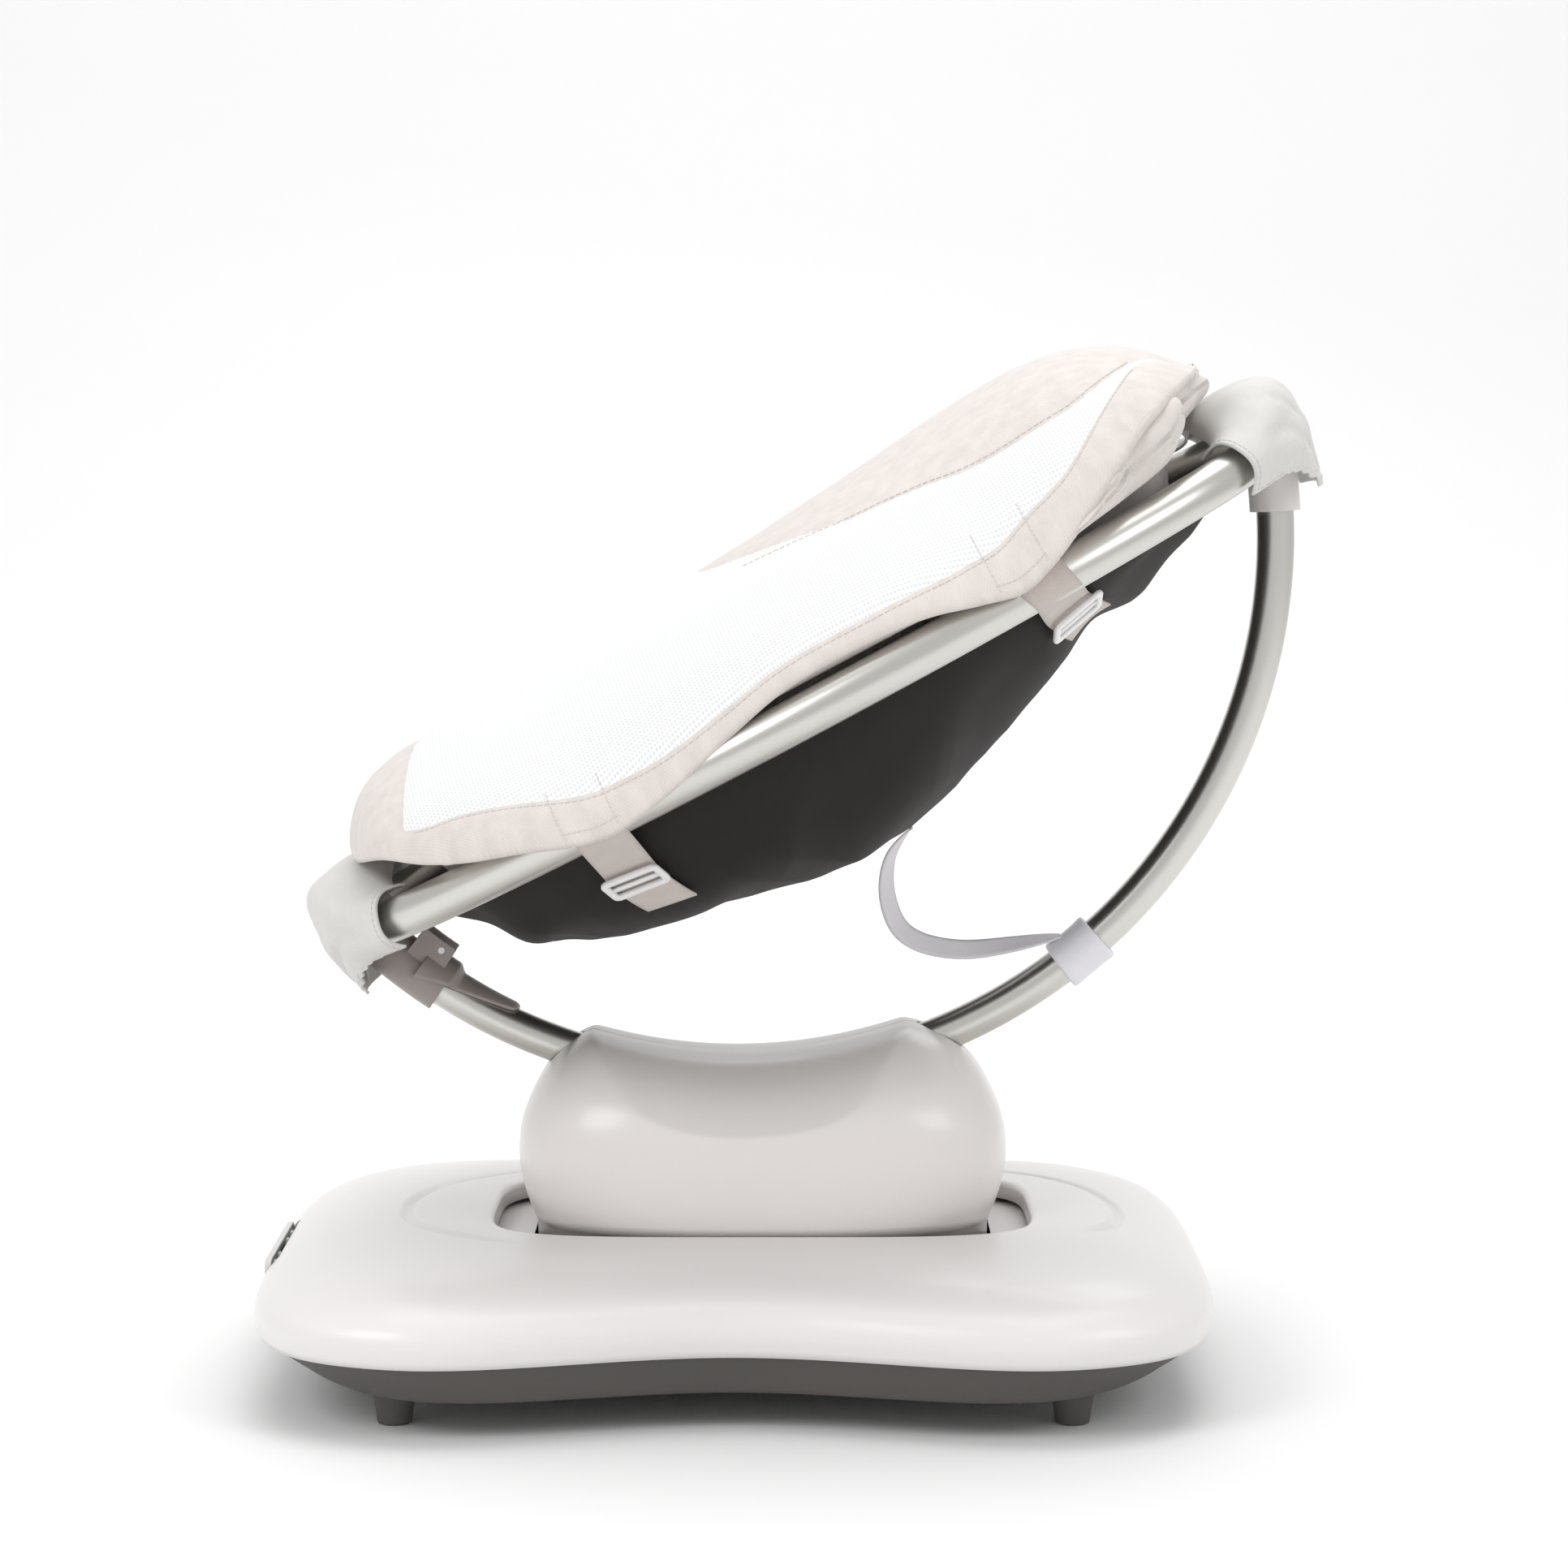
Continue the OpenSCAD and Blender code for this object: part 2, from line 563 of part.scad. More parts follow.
// One half of the ring, on the side of y
module ring_half(y) {
    bore = ring_d - 2 * tube_wall;
    last = len(ring_path) - 1;
    color(alloy) in_seat() translate([0, 0, ring_n]) rotate([0, 0, y > 0 ? 180 : 0]) loft(concat(
        [for (p = ring_path) ring_section(p, ring_d)],
        [for (i = [last:-1:0]) ring_section(ring_path[i], bore)]), closed = true);
}
module ring_tube_near() { ring_half(-1); }
module ring_tube_far() { ring_half(1); }

hub_wall = 4;
hub_half_deg = 12;
hub_fit = 0.15;

// Two screws hold each hub; their heads sit in flat pockets on its upper side
pocket = 0.8;
module at_hub_screws(s) { for (y = [-1, 1])
    translate([s * (ring_half_l - 2.5), y * 26, ring_n + ring_d / 2 + hub_wall - pocket]) children(); }

// A tee that joins the two ring tubes and one end of the curved tube; s is +1 at the head
module hub(s, sleeve) {
    difference() {
        union() {
            translate([s * ring_end_s, 0, ring_n]) rotate([0, 0, (s > 0 ? 0 : 180) - hub_half_deg])
                rotate_extrude(angle = 2 * hub_half_deg, $fn = 240) translate([ring_end_r, 0])
                    circle(d = ring_d + 2 * hub_wall, $fn = 48);
            bow_arc(s > 0 ? hub_phi - sleeve : -hub_phi, s > 0 ? hub_phi : -hub_phi + sleeve, bow_d + 2 * hub_wall);
            children();
        }
        translate([s * ring_end_s, 0, ring_n]) rotate([0, 0, (s > 0 ? 0 : 180) - 2 * hub_half_deg])
            rotate_extrude(angle = 4 * hub_half_deg, $fn = 240) translate([ring_end_r, 0])
                circle(d = ring_d + 2 * hub_fit, $fn = 48);
        bow_arc(s > 0 ? hub_phi - 2 * sleeve : -hub_phi + 2.5, s > 0 ? hub_phi - 2.5 : -hub_phi + 2 * sleeve,
            bow_d + 2 * hub_fit);
        at_hub_screws(s) {
            cylinder(d = 7.6, h = 4, $fn = 48);
            translate([0, 0, -4]) cylinder(d = 3.1, h = 5, $fn = 48);
        }
    }
}

module head_hub() color(tower_white) in_seat() hub(1, 7.5);

// The recline lever turns on a pin held between two ears of the foot hub
lever_phi = -64;
lever_r = bow_r - bow_d / 2 - 9;
lever_y = 10;
lever_tip = -52.9;
ear_t = 3.5;
lever_pin_d = 4;
module at_lever_pin() { rotate([0, -lever_phi, 0]) translate([0, 0, -lever_r]) rotate([90, 0, 0]) children(); }

module foot_hub() color(handle_grey) in_seat() difference() {
    hub(-1, 11) for (y = [-1, 1]) turn_about_y(lever_phi - 3, lever_phi + 1.4)
        translate([lever_r - 5, y * (lever_y + 0.4 + ear_t / 2) - ear_t / 2]) square([18, ear_t]);
    at_lever_pin() cylinder(d = lever_pin_d + 2 * seat_fit, h = 40, center = true, $fn = 48);
}

module lever_pin() color(steel) in_seat() at_lever_pin()
    cylinder(d = lever_pin_d, h = 2 * (lever_y + ear_t) + 0.8, center = true, $fn = 48);

module recline_lever() color(handle_grey) in_seat() difference() {
    union() {
        turn_about_y(lever_phi, lever_tip) translate([lever_r - 3, -lever_y]) square([8, 2 * lever_y]);
        at_lever_pin() cylinder(r = 5, h = 2 * lever_y, center = true, $fn = 64);
    }
    at_lever_pin() cylinder(d = lever_pin_d + 2 * run_fit, h = 40, center = true, $fn = 48);
    bow_arc(-hub_phi - 1, -40, bow_d + 2 * hub_wall + 0.6);
}

module hub_screws() color(steel) in_seat() for (s = [-1, 1]) at_hub_screws(s) {
    difference() {
        cylinder(d = 7, h = 2, $fn = 48);
        translate([0, 0, 1]) cylinder(d = 3, h = 2, $fn = 6);
    }
    translate([0, 0, -3]) cylinder(d = 3, h = 3, $fn = 48);
}

// ---- soft parts

// Half-width at a place along the seat of the ring's centreline, or of a line inset from it
function ring_w(s, inset = 0) = let (a = abs(s), side = ring_side_r - inset, end = ring_end_r - inset)
    a < side * sin(ring_join) ? sqrt(side * side - s * s) - ring_off
                              : sqrt(max(0, end * end - pow(a - ring_end_s, 2)));

// The tables of the soft parts are drawn for a ring of this half-length, and stretch with it
drawn_half_l = 309;
drawn_ring_n = -97.44;
stretch = ring_half_l / drawn_half_l;
function along(s, table) = let (q = s / stretch, k = max([for (i = [0:len(table) - 2]) q >= table[i][0] ? i : 0]))
    let (a = table[k], b = table[k + 1]) a[1] + (b[1] - a[1]) * ease((q - a[0]) / (b[0] - a[0]));
function near_end(s) = ease((abs(s) / stretch - 225) / 30);

// Depth of the sling below the ring, as a share of sling_depth, along the seat
sling_line = [[-275, 0.04], [-222, 0.45], [-160, 0.75], [-30, 1], [60, 0.84], [140, 0.54], [222, 0.28], [275, 0.04]];
sling_t = 2.5;
sling_end = 268 * stretch;
function sling_w(s) = ring_w(s, ring_d / 2 + 1.5);
function sling_n(s, v) = ring_n - along(s, [for (p = sling_line) [p[0], p[1] * sling_depth]])
    * pow(max(0, 1 - pow(abs(v), 2.6)), 0.8) - 2;

// One cross-section of the sling at s: the outer line from near to far, then the inner line back
function sling_ring(s) = let (steps = 14) concat(
    [for (i = [0:steps]) let (v = 1 - 2 * i / steps) [s, v * sling_w(s), sling_n(s, v) - sling_t]],
    [for (i = [steps:-1:0]) let (v = 1 - 2 * i / steps) [s, v * (sling_w(s) - 2), sling_n(s, v)]]);

module sling() color(black_cloth) in_seat() {
    steps = 22;
    loft([for (i = [0:steps]) sling_ring(-sling_end + 2 * sling_end * i / steps)]);
}

// Height of the pad above the ring, as a share of pad_crown, along the seat
pad_line = [[-284, 0.44], [-272, 0.58], [-246, 0.7], [-120, 0.78], [60, 0.9], [190, 1], [237, 0.92], [268, 0.72],
    [284, 0.46]];
pad_end = 284 * stretch;
pad_gap = 2.8;
// Over the hoods the pad's underside rises to this height above the ring
pad_lift = 40.5;
function pad_w(s) = let (u = abs(s) / (pad_end + 6)) (ring_half_w + 8) * pow(1 - pow(u, 3.4), 0.42);
function pad_edge(s, v) = let (r = norm([abs(s) - ring_end_s, v * pad_w(s)]))
    ring_n + ring_d / 2 + pad_gap + (pad_lift - ring_d / 2 - pad_gap) * ease((r - 96) / 20) * near_end(s);
function pad_top(s, v) = let (h = along(s, [for (p = pad_line) [p[0], p[1] * pad_crown]]))
    max(pad_edge(s, v) + 3.5, pad_edge(s, 1) + 4
        + (ring_n + h - pad_edge(s, 1) - 4) * pow(max(0, 1 - pow(abs(v), 2.2)), 0.75));
function pad_under(s, v) = let (inside = ease((sling_w(s) - 14 - abs(v) * pad_w(s)) / 60))
    pad_edge(s, v) - inside * (1 - near_end(s))
    * (ring_d / 2 + pad_gap + 0.7 * along(s, [for (p = sling_line) [p[0], p[1] * sling_depth]]) - 4);

function pad_ring(s) = let (steps = 20) concat(
    [for (i = [0:steps]) let (v = cos(180 * i / steps)) [s, v * pad_w(s), pad_under(s, v)]],
    [for (i = [steps:-1:0]) let (v = cos(180 * i / steps)) [s, v * pad_w(s), pad_top(s, v)]]);

module seat_pad() color(pad_white) in_seat() {
    steps = 26;
    loft([for (i = [0:steps]) pad_ring(-pad_end * cos(180 * i / steps))], fan = true);
}

// The hood over one end of the ring: this profile (along the seat, above the ring) turns about the end arc's axis
hood_out = [[272, 25], [276, 35], [300, 38], [322, 36], [332, 24], [334, 4], [330, -22], [322, -46]];
hood_core = [296, 0];
hood_t = 2.5;
hood_half_deg = 31;
function hood_in(p) = p + (hood_core - p) / norm(hood_core - p) * hood_t;

module hood(s) { color(hood_grey) in_seat() rotate([0, 0, s > 0 ? 0 : 180]) translate([ring_end_s, 0, ring_n])
    rotate([0, 0, -hood_half_deg]) rotate_extrude(angle = 2 * hood_half_deg, $fn = 240)
    polygon([for (p = concat(hood_out, [for (i = [len(hood_out) - 1:-1:0]) hood_in(hood_out[i])]))
        p + [ring_end_r - drawn_half_l, 0]]);
}
module foot_hood() { hood(-1); }
module head_hood() { hood(1); }

// Square to a 2-D path at its point i
function across(path, i) = let (a = path[max(0, i - 1)], b = path[min(len(path) - 1, i + 1)], d = (b - a) / norm(b - a))
    [-d[1], d[0]];

// A flat strap goes over and round the tube, then down the outside of the sling, which it reaches at strap_v
strap_t = 1.6;
strap_gap = 0.6;
strap_turns = [115, 90, 65, 40, 15, -10, -35, -60];
strap_v = [0.91, 0.87, 0.83, 0.79, 0.75, 0.71, 0.67];
strap_last = len(strap_turns) + len(strap_v) - 1;
strap_drift = 12;
foot_strap_s = -139 * stretch;
head_strap_s = 143 * stretch;
function sling_out(s, v) = [v * sling_w(s), sling_n(s, v) - sling_t];
function round_tube(s, a) = let (r = ring_d / 2 + strap_gap)
    [ring_w(s) + r * cos(a) / sqrt(1 - pow(s / ring_side_r, 2)), ring_n + r * sin(a)];
// The (y, n) places of the inner face of one edge of a strap, which starts at s and drifts along the seat
function strap_s(s, i) = s + strap_drift * i / strap_last;
function strap_line(s) = concat(
    [for (i = [0:len(strap_turns) - 1]) round_tube(strap_s(s, i), strap_turns[i])],
    [for (k = [0:len(strap_v) - 1]) let (t = strap_s(s, len(strap_turns) + k), a = sling_out(t, strap_v[k]))
        a + (strap_gap + 0.5) * across([a, sling_out(t, strap_v[k] - 0.01)], 0)]);
function strap_face(s, i, lift) = let (line = strap_line(s), p = line[i] + lift * across(line, i))
    [strap_s(s, i), p[0], p[1]];

module side_strap(s, y) { color(webbing) in_seat() mirror([0, y > 0 ? 0 : 1, 0])
    loft([for (i = [0:strap_last]) [
        strap_face(s - strap_w / 2, i, 0), strap_face(s + strap_w / 2, i, 0),
        strap_face(s + strap_w / 2, i, strap_t), strap_face(s - strap_w / 2, i, strap_t)]]);
}
module foot_straps() { for (y = [-1, 1]) side_strap(foot_strap_s, y); }
module head_straps() { for (y = [-1, 1]) side_strap(head_strap_s, y); }

// A buckle lies flat on a strap, over the strap's path point buckle_i
buckle_w = strap_w + 8;
buckle_h = 22;
buckle_t = 3;
buckle_i = 9;
function unit(a) = a / norm(a);
module buckle(s, y) {
    lift = strap_t + 1.4 + buckle_t / 2;
    wide = unit(strap_face(s + strap_w / 2, buckle_i, 0) - strap_face(s - strap_w / 2, buckle_i, 0));
    down = strap_face(s, buckle_i + 1, 0) - strap_face(s, buckle_i - 1, 0);
    out = unit(cross(down, wide));
    c = (strap_face(s + strap_w / 2, buckle_i, lift) + strap_face(s - strap_w / 2, buckle_i, lift)) / 2;
    high = cross(out, wide);
    in_seat() mirror([0, y > 0 ? 0 : 1, 0]) multmatrix([
        [wide[0], high[0], out[0], c[0]], [wide[1], high[1], out[1], c[1]], [wide[2], high[2], out[2], c[2]]])
        difference() {
            cube([buckle_w, buckle_h, buckle_t], center = true);
            for (k = [-1, 1]) translate([0, k * 5, 0]) cube([strap_w + 1, 5, 5], center = true);
        }
}
module strap_buckles() color(pad_white) for (s = [foot_strap_s, head_strap_s], y = [-1, 1]) buckle(s, y);

// The tether hangs from the sling's underside to the clip on the curved tube
tether_w = 13;
tether_t = 1.4;
clip_phi = 39.9 - seat_tilt;
tether_path = [[12, -204], [0, -208], [-10, -214], [-21, -230], [-25, -251], [-19, -265], [-6, -277],
    [9, -286], [28, -293], [46, -297], [58, -300]];
module tether_strap() color(pad_white) in_seat() {
    last = len(tether_path) - 1;
    path = [for (i = [0:last]) tether_path[i] + [0, (ring_n - drawn_ring_n) * (1 - i / last)]];
    loft([for (i = [0:last]) let (p = path[i], q = p + tether_t * across(path, i)) [
        [p[0], -tether_w / 2, p[1]], [p[0], tether_w / 2, p[1]], [q[0], tether_w / 2, q[1]], [q[0], -tether_w / 2, q[1]]]]);
}

clip_half = 2.7;
clip_fit = 0.35;
module strap_clip() color(pad_white) in_seat() difference() {
    bow_arc(clip_phi - clip_half, clip_phi + clip_half, bow_d + 9);
    bow_arc(clip_phi - 2 * clip_half, clip_phi + 2 * clip_half, bow_d + 2 * clip_fit);
}

base_pan();
base_cover();
foot_front_left();
foot_front_right();
foot_rear_left();
foot_rear_right();
cover_screws();
rail_front();
rail_rear();
rail_blocks();
glide_motor();
control_board();
control_fascia();
display_window();
dc_inlet();
button_power();
button_motion();
button_speed();
button_sound();
glide_pinion();
carriage_plate();
slide_bushes();
glide_rack();
lift_posts();
lift_motor();
slot_shutter();
screw_bearing();
lift_screw();
tower_front_shell();
tower_rear_shell();
tower_platform();
post_bushes();
lift_nut();
bow_cradle();
roller_pins();
tower_screws();
guide_roller_foot();
guide_roller_head();
bow_tube();
ring_tube_near();
ring_tube_far();
foot_hub();
head_hub();
hub_screws();
lever_pin();
sling();
seat_pad();
foot_hood();
head_hood();
foot_straps();
head_straps();
strap_buckles();
tether_strap();
recline_lever();
strap_clip();
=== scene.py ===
import json
import math
import bpy
import bmesh
import numpy as np
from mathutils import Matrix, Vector
from mathutils.bvhtree import BVHTree


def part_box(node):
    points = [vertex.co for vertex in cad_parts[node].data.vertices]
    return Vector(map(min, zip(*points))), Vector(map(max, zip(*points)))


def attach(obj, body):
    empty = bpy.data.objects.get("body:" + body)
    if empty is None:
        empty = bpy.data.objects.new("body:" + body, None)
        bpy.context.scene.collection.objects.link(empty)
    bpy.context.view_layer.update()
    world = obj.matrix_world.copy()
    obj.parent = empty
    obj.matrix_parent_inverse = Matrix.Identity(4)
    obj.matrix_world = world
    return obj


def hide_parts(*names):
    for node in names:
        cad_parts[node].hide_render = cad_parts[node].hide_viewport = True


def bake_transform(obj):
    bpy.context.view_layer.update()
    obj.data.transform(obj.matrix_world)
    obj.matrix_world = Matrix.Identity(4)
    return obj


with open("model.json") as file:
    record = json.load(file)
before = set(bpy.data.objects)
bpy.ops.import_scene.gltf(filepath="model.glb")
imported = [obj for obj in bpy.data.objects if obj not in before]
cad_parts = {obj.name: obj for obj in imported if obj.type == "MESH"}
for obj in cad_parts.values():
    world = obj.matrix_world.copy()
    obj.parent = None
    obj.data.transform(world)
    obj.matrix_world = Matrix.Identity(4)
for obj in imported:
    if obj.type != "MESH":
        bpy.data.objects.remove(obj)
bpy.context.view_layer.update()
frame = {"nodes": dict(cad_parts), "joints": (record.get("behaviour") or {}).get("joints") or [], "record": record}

# ---- Camera
# Stands level with the top of the seat, square to the swing's side, and looks a little down.
joint_at = {j["name"]: j for j in frame["joints"]}
turn_x, _, turn_z = joint_at["recline"]["pos_m"]
camera = bpy.data.objects.new("camera", bpy.data.cameras.new("camera"))
camera.data.sensor_width = 36
camera.data.lens = 95.5
camera.location = (turn_x + 0.0289, -2.5, 0.592)
camera.rotation_euler = (math.radians(90 - 5.5), 0, 0)
bpy.context.scene.collection.objects.link(camera)
bpy.context.scene.camera = camera

# ---- Studio
# A pale sweep that rises behind the swing, a big soft light over it and one on each side.


def put_in(name, data):
    """A new object in the scene, at the origin, that shows the data."""
    thing = bpy.data.objects.new(name, data)
    bpy.context.scene.collection.objects.link(thing)
    return thing


sweep_line = [(-5.0, 0.0), (1.6, 0.0)] + [
    (1.6 + 1.2 * math.sin(a), 1.2 - 1.2 * math.cos(a)) for a in np.radians(range(10, 91, 10))] + [(2.8, 5.0)]
floor_mesh = bpy.data.meshes.new("studio_floor")
floor_mesh.from_pydata(
    [(x, y, z) for y, z in sweep_line for x in (-6.0, 6.0)], [],
    [(2 * i, 2 * i + 1, 2 * i + 3, 2 * i + 2) for i in range(len(sweep_line) - 1)])
floor = put_in("studio_floor", floor_mesh)
floor_finish = bpy.data.materials.new("studio_floor")
floor_finish.use_nodes = True
floor_finish.node_tree.nodes["Principled BSDF"].inputs["Base Color"].default_value = (0.93, 0.93, 0.93, 1)
floor_finish.node_tree.nodes["Principled BSDF"].inputs["Roughness"].default_value = 0.9
floor_mesh.materials.append(floor_finish)
floor_mesh.polygons.foreach_set("use_smooth", [True] * len(floor_mesh.polygons))

world = bpy.data.worlds.new("studio")
world.use_nodes = True
world.node_tree.nodes["Background"].inputs["Color"].default_value = (1, 1, 1, 1)
world.node_tree.nodes["Background"].inputs["Strength"].default_value = 0.70
bpy.context.scene.world = world
bpy.context.scene.view_settings.view_transform = "Standard"
for name, place, size, power in (
        ("left_softbox", (-1.9, -1.9, 2.1), 1.3, 24), ("right_softbox", (2.1, -1.6, 1.9), 1.1, 12),
        ("top_softbox", (0.1, 0.3, 2.9), 2.4, 30), ("back_light", (0.3, 1.5, 1.9), 1.2, 8)):
    light = bpy.data.objects.new(name, bpy.data.lights.new(name, "AREA"))
    light.data.size = size
    light.data.energy = power
    light.location = place
    light.rotation_euler = (Vector((0, 0, 0.3)) - Vector(place)).to_track_quat("-Z", "Y").to_euler()
    bpy.context.scene.collection.objects.link(light)

# ---- Base cover
# One white moulding over the whole base: a low dome with a shallow groove round the tower and an
# opening with a rolled edge in which the tower glides. The control panel sits in its foot end.
base_x = float(np.mean([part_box("base_pan")[0][0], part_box("base_pan")[1][0]]))
half_l, half_d, waist = 0.279, 0.235, 0.039
rim_z = 0.045
base_corner = 4.7          # how square the outline is: 2 is an ellipse


def superellipse(a, b, p, angles):
    """Points of a rounded rectangle, one for each angle seen from its middle."""
    r = (np.abs(np.cos(angles) / a) ** p + np.abs(np.sin(angles) / b) ** p) ** (-1 / p)
    return np.column_stack([r * np.cos(angles), r * np.sin(angles)])


def ease(u):
    u = np.clip(u, 0, 1)
    return u * u * (3 - 2 * u)


def base_ring(inset_x, inset_y, z, angles):
    p = superellipse(half_l - inset_x, half_d - inset_y, base_corner, angles)
    p[:, 1] *= 1 - waist / half_d * (1 - ease(np.abs(p[:, 0]) / 0.195))
    return np.column_stack([p[:, 0] + base_x, p[:, 1], np.full(len(p), z)])


def cut_corners(line, rounds=3):
    """A rounded copy of a line of points: each round cuts its corners, and its ends stay."""
    line = np.array(line, float)
    for _ in range(rounds):
        a, b = line[:-1], line[1:]
        middle = np.stack([a * 0.75 + b * 0.25, a * 0.25 + b * 0.75], 1).reshape(-1, line.shape[1])
        line = np.vstack([line[:1], middle[1:-1], line[-1:]])
    return line


def skin(name, rings, caps=(False, False), closed=False, smooth=True):
    """A mesh through rings of equally many points; caps close its first and last ring about a middle point."""
    rings = np.array(rings)
    count, n = rings.shape[:2]
    verts = rings.reshape(-1, 3).tolist()
    faces = []
    for k in range(count if closed else count - 1):
        for i in range(n):
            a, b = k * n + i, k * n + (i + 1) % n
            c, d = (k + 1) % count * n + i, (k + 1) % count * n + (i + 1) % n
            faces.append((a, b, d, c))
    for wanted, k in zip(caps, (0, count - 1)):
        if wanted:
            verts.append(rings[k].mean(0).tolist())
            faces += [(k * n + i, k * n + (i + 1) % n, len(verts) - 1)[::1 if k else -1] for i in range(n)]
    mesh = bpy.data.meshes.new(name)
    mesh.from_pydata(verts, [], faces)
    if smooth:
        mesh.polygons.foreach_set("use_smooth", [True] * len(mesh.polygons))
    piece = put_in(name, mesh)
    return piece


def outward(piece, merge=1e-6):
    """Merges doubles, then turns every face outwards."""
    bm = bmesh.new()
    bm.from_mesh(piece.data)
    bmesh.ops.remove_doubles(bm, verts=bm.verts, dist=merge)
    bmesh.ops.recalc_face_normals(bm, faces=bm.faces)
    bm.to_mesh(piece.data)
    bm.free()


def settle(piece):
    """Replaces a piece's mesh by what its modifiers make of it, and takes them off."""
    bpy.context.view_layer.update()
    shown = piece.evaluated_get(bpy.context.evaluated_depsgraph_get())
    mesh = bpy.data.meshes.new_from_object(shown)
    piece.modifiers.clear()
    piece.data = mesh


def carve(piece, cutter):
    """Cuts one solid out of a piece, and removes the cutter."""
    cut = piece.modifiers.new("cut", "BOOLEAN")
    cut.operation = "DIFFERENCE"
    cut.solver = "EXACT"
    cut.object = cutter
    settle(piece)
    bpy.data.objects.remove(cutter)


def thicken(piece, wall, offset=-1):
    solid = piece.modifiers.new("wall", "SOLIDIFY")
    solid.thickness = wall
    solid.offset = offset
    settle(piece)


tower_x = float(np.mean([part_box("tower_front_shell")[0][0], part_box("tower_front_shell")[1][0]]))
slot_l, slot_d = 0.161, 0.0955
groove_a, groove_b, groove_p = 0.216, 0.140, 2.3
groove_half, groove_deep = 0.0052, 0.0030
shoulder_h, crown_rise = 0.0398, 0.0093
lip_r, slot_corner = 0.004, 4.5

turns = np.radians(np.linspace(0, 360, 420, endpoint=False))
cover_rings = [base_ring(0.0028, 0.0028, rim_z + 0.002, turns), base_ring(0.0006, 0.0006, rim_z, turns)]
shoulder = cut_corners([
    (0, 0.0), (-0.003, 0.010), (-0.0018, 0.019), (0.005, 0.0275), (0.016, 0.0345), (0.032, shoulder_h)])
cover_rings += [base_ring(i, i, rim_z + z, turns) for i, z in shoulder]
outer = base_ring(0.032, 0.032, 0, turns)
mouth = superellipse(slot_l + lip_r, slot_d + lip_r, slot_corner, turns) + [tower_x, 0]
for w in np.linspace(0, 1, 72)[1:]:
    x, y = outer[:, 0] * (1 - w) + mouth[:, 0] * w, outer[:, 1] * (1 - w) + mouth[:, 1] * w
    z = rim_z + shoulder_h + crown_rise * (1 - (1 - w) ** 2.4)
    u = np.hypot(x - tower_x, y) + 1e-9
    out = ((np.abs(x - tower_x) / groove_a) ** groove_p + (np.abs(y) / groove_b) ** groove_p) ** (1 / groove_p)
    off = (out - 1) * u / out
    fade = ease((y + np.where(x < tower_x, 0.122, 0.085)) / 0.035)
    cover_rings.append(np.column_stack([x, y, z - groove_deep * fade * ease(1 - np.abs(off) / groove_half)]))
lip_z = rim_z + shoulder_h + crown_rise
for a in np.radians([20, 40, 60, 80, 90]):
    lip = superellipse(
        slot_l + lip_r * (1 - math.sin(a)), slot_d + lip_r * (1 - math.sin(a)), slot_corner, turns) + [tower_x, 0]
    cover_rings.append(np.column_stack([lip, np.full(len(lip), lip_z - lip_r * (1 - math.cos(a)))]))
cover_rings.append(np.column_stack([lip, np.full(len(lip), lip_z - 0.011)]))
cover = skin("base_cover_moulding", cover_rings)
outward(cover)
thicken(cover, 0.0022)

panel_l, panel_h, panel_z = 0.0603, 0.0103, rim_z + 0.0175
panel_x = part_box("control_fascia")[0][0]


def rounded_outline(l, h, r, steps=8):
    return np.array([
        (cx * (l - r) + r * math.cos(a), cy * (h - r) + r * math.sin(a))
        for cx, cy, start in ((1, 1, 0), (-1, 1, 90), (-1, -1, 180), (1, -1, 270))
        for a in np.radians(np.linspace(start, start + 90, steps))])


panel_line = rounded_outline(panel_l, panel_h, 0.006)
cutter = skin("cutter", [
    np.column_stack([np.full(len(panel_line), x), panel_line[:, 0], panel_line[:, 1] + panel_z])
    for x in (panel_x - 0.02, panel_x + 0.012)], caps=(True, True))
outward(cutter)
carve(cover, cutter)


def finish(name, colour, rough, metal=0.0):
    """A new material with its Principled shader, ready for texture nodes."""
    material = bpy.data.materials.new(name)
    material.use_nodes = True
    shader = material.node_tree.nodes["Principled BSDF"]
    shader.inputs["Base Color"].default_value = (*colour, 1)
    shader.inputs["Roughness"].default_value = rough
    shader.inputs["Metallic"].default_value = metal
    return material, material.node_tree.nodes, material.node_tree.links, shader


def new_group(name, sizes, outputs):
    """A shader node group with float inputs and the named outputs, and its two end nodes."""
    group = bpy.data.node_groups.new(name, "ShaderNodeTree")
    group.interface.new_socket("Vector", in_out="INPUT", socket_type="NodeSocketVector")
    for label, value in sizes.items():
        group.interface.new_socket(label, in_out="INPUT", socket_type="NodeSocketFloat").default_value = value
    for label, kind in outputs.items():
        group.interface.new_socket(label, in_out="OUTPUT", socket_type=kind)
    return group, group.nodes.new("NodeGroupInput"), group.nodes.new("NodeGroupOutput")


# Moulded plastic: a fine grain, a faint long-wave ripple, and slight changes of sheen from handling
moulded_group, g_in, g_out = new_group(
    "moulded_grain", {"Grain size": 900, "Ripple": 9},
    {"Height": "NodeSocketFloat", "Sheen": "NodeSocketFloat", "Tint": "NodeSocketFloat"})
grain = moulded_group.nodes.new("ShaderNodeTexNoise")
grain.inputs["Detail"].default_value = 3
ripple = moulded_group.nodes.new("ShaderNodeTexNoise")
ripple.inputs["Detail"].default_value = 4
moulded_group.links.new(g_in.outputs["Vector"], grain.inputs["Vector"])
moulded_group.links.new(g_in.outputs["Vector"], ripple.inputs["Vector"])
moulded_group.links.new(g_in.outputs["Grain size"], grain.inputs["Scale"])
moulded_group.links.new(g_in.outputs["Ripple"], ripple.inputs["Scale"])
moulded_group.links.new(grain.outputs["Fac"], g_out.inputs["Height"])
moulded_group.links.new(ripple.outputs["Fac"], g_out.inputs["Sheen"])
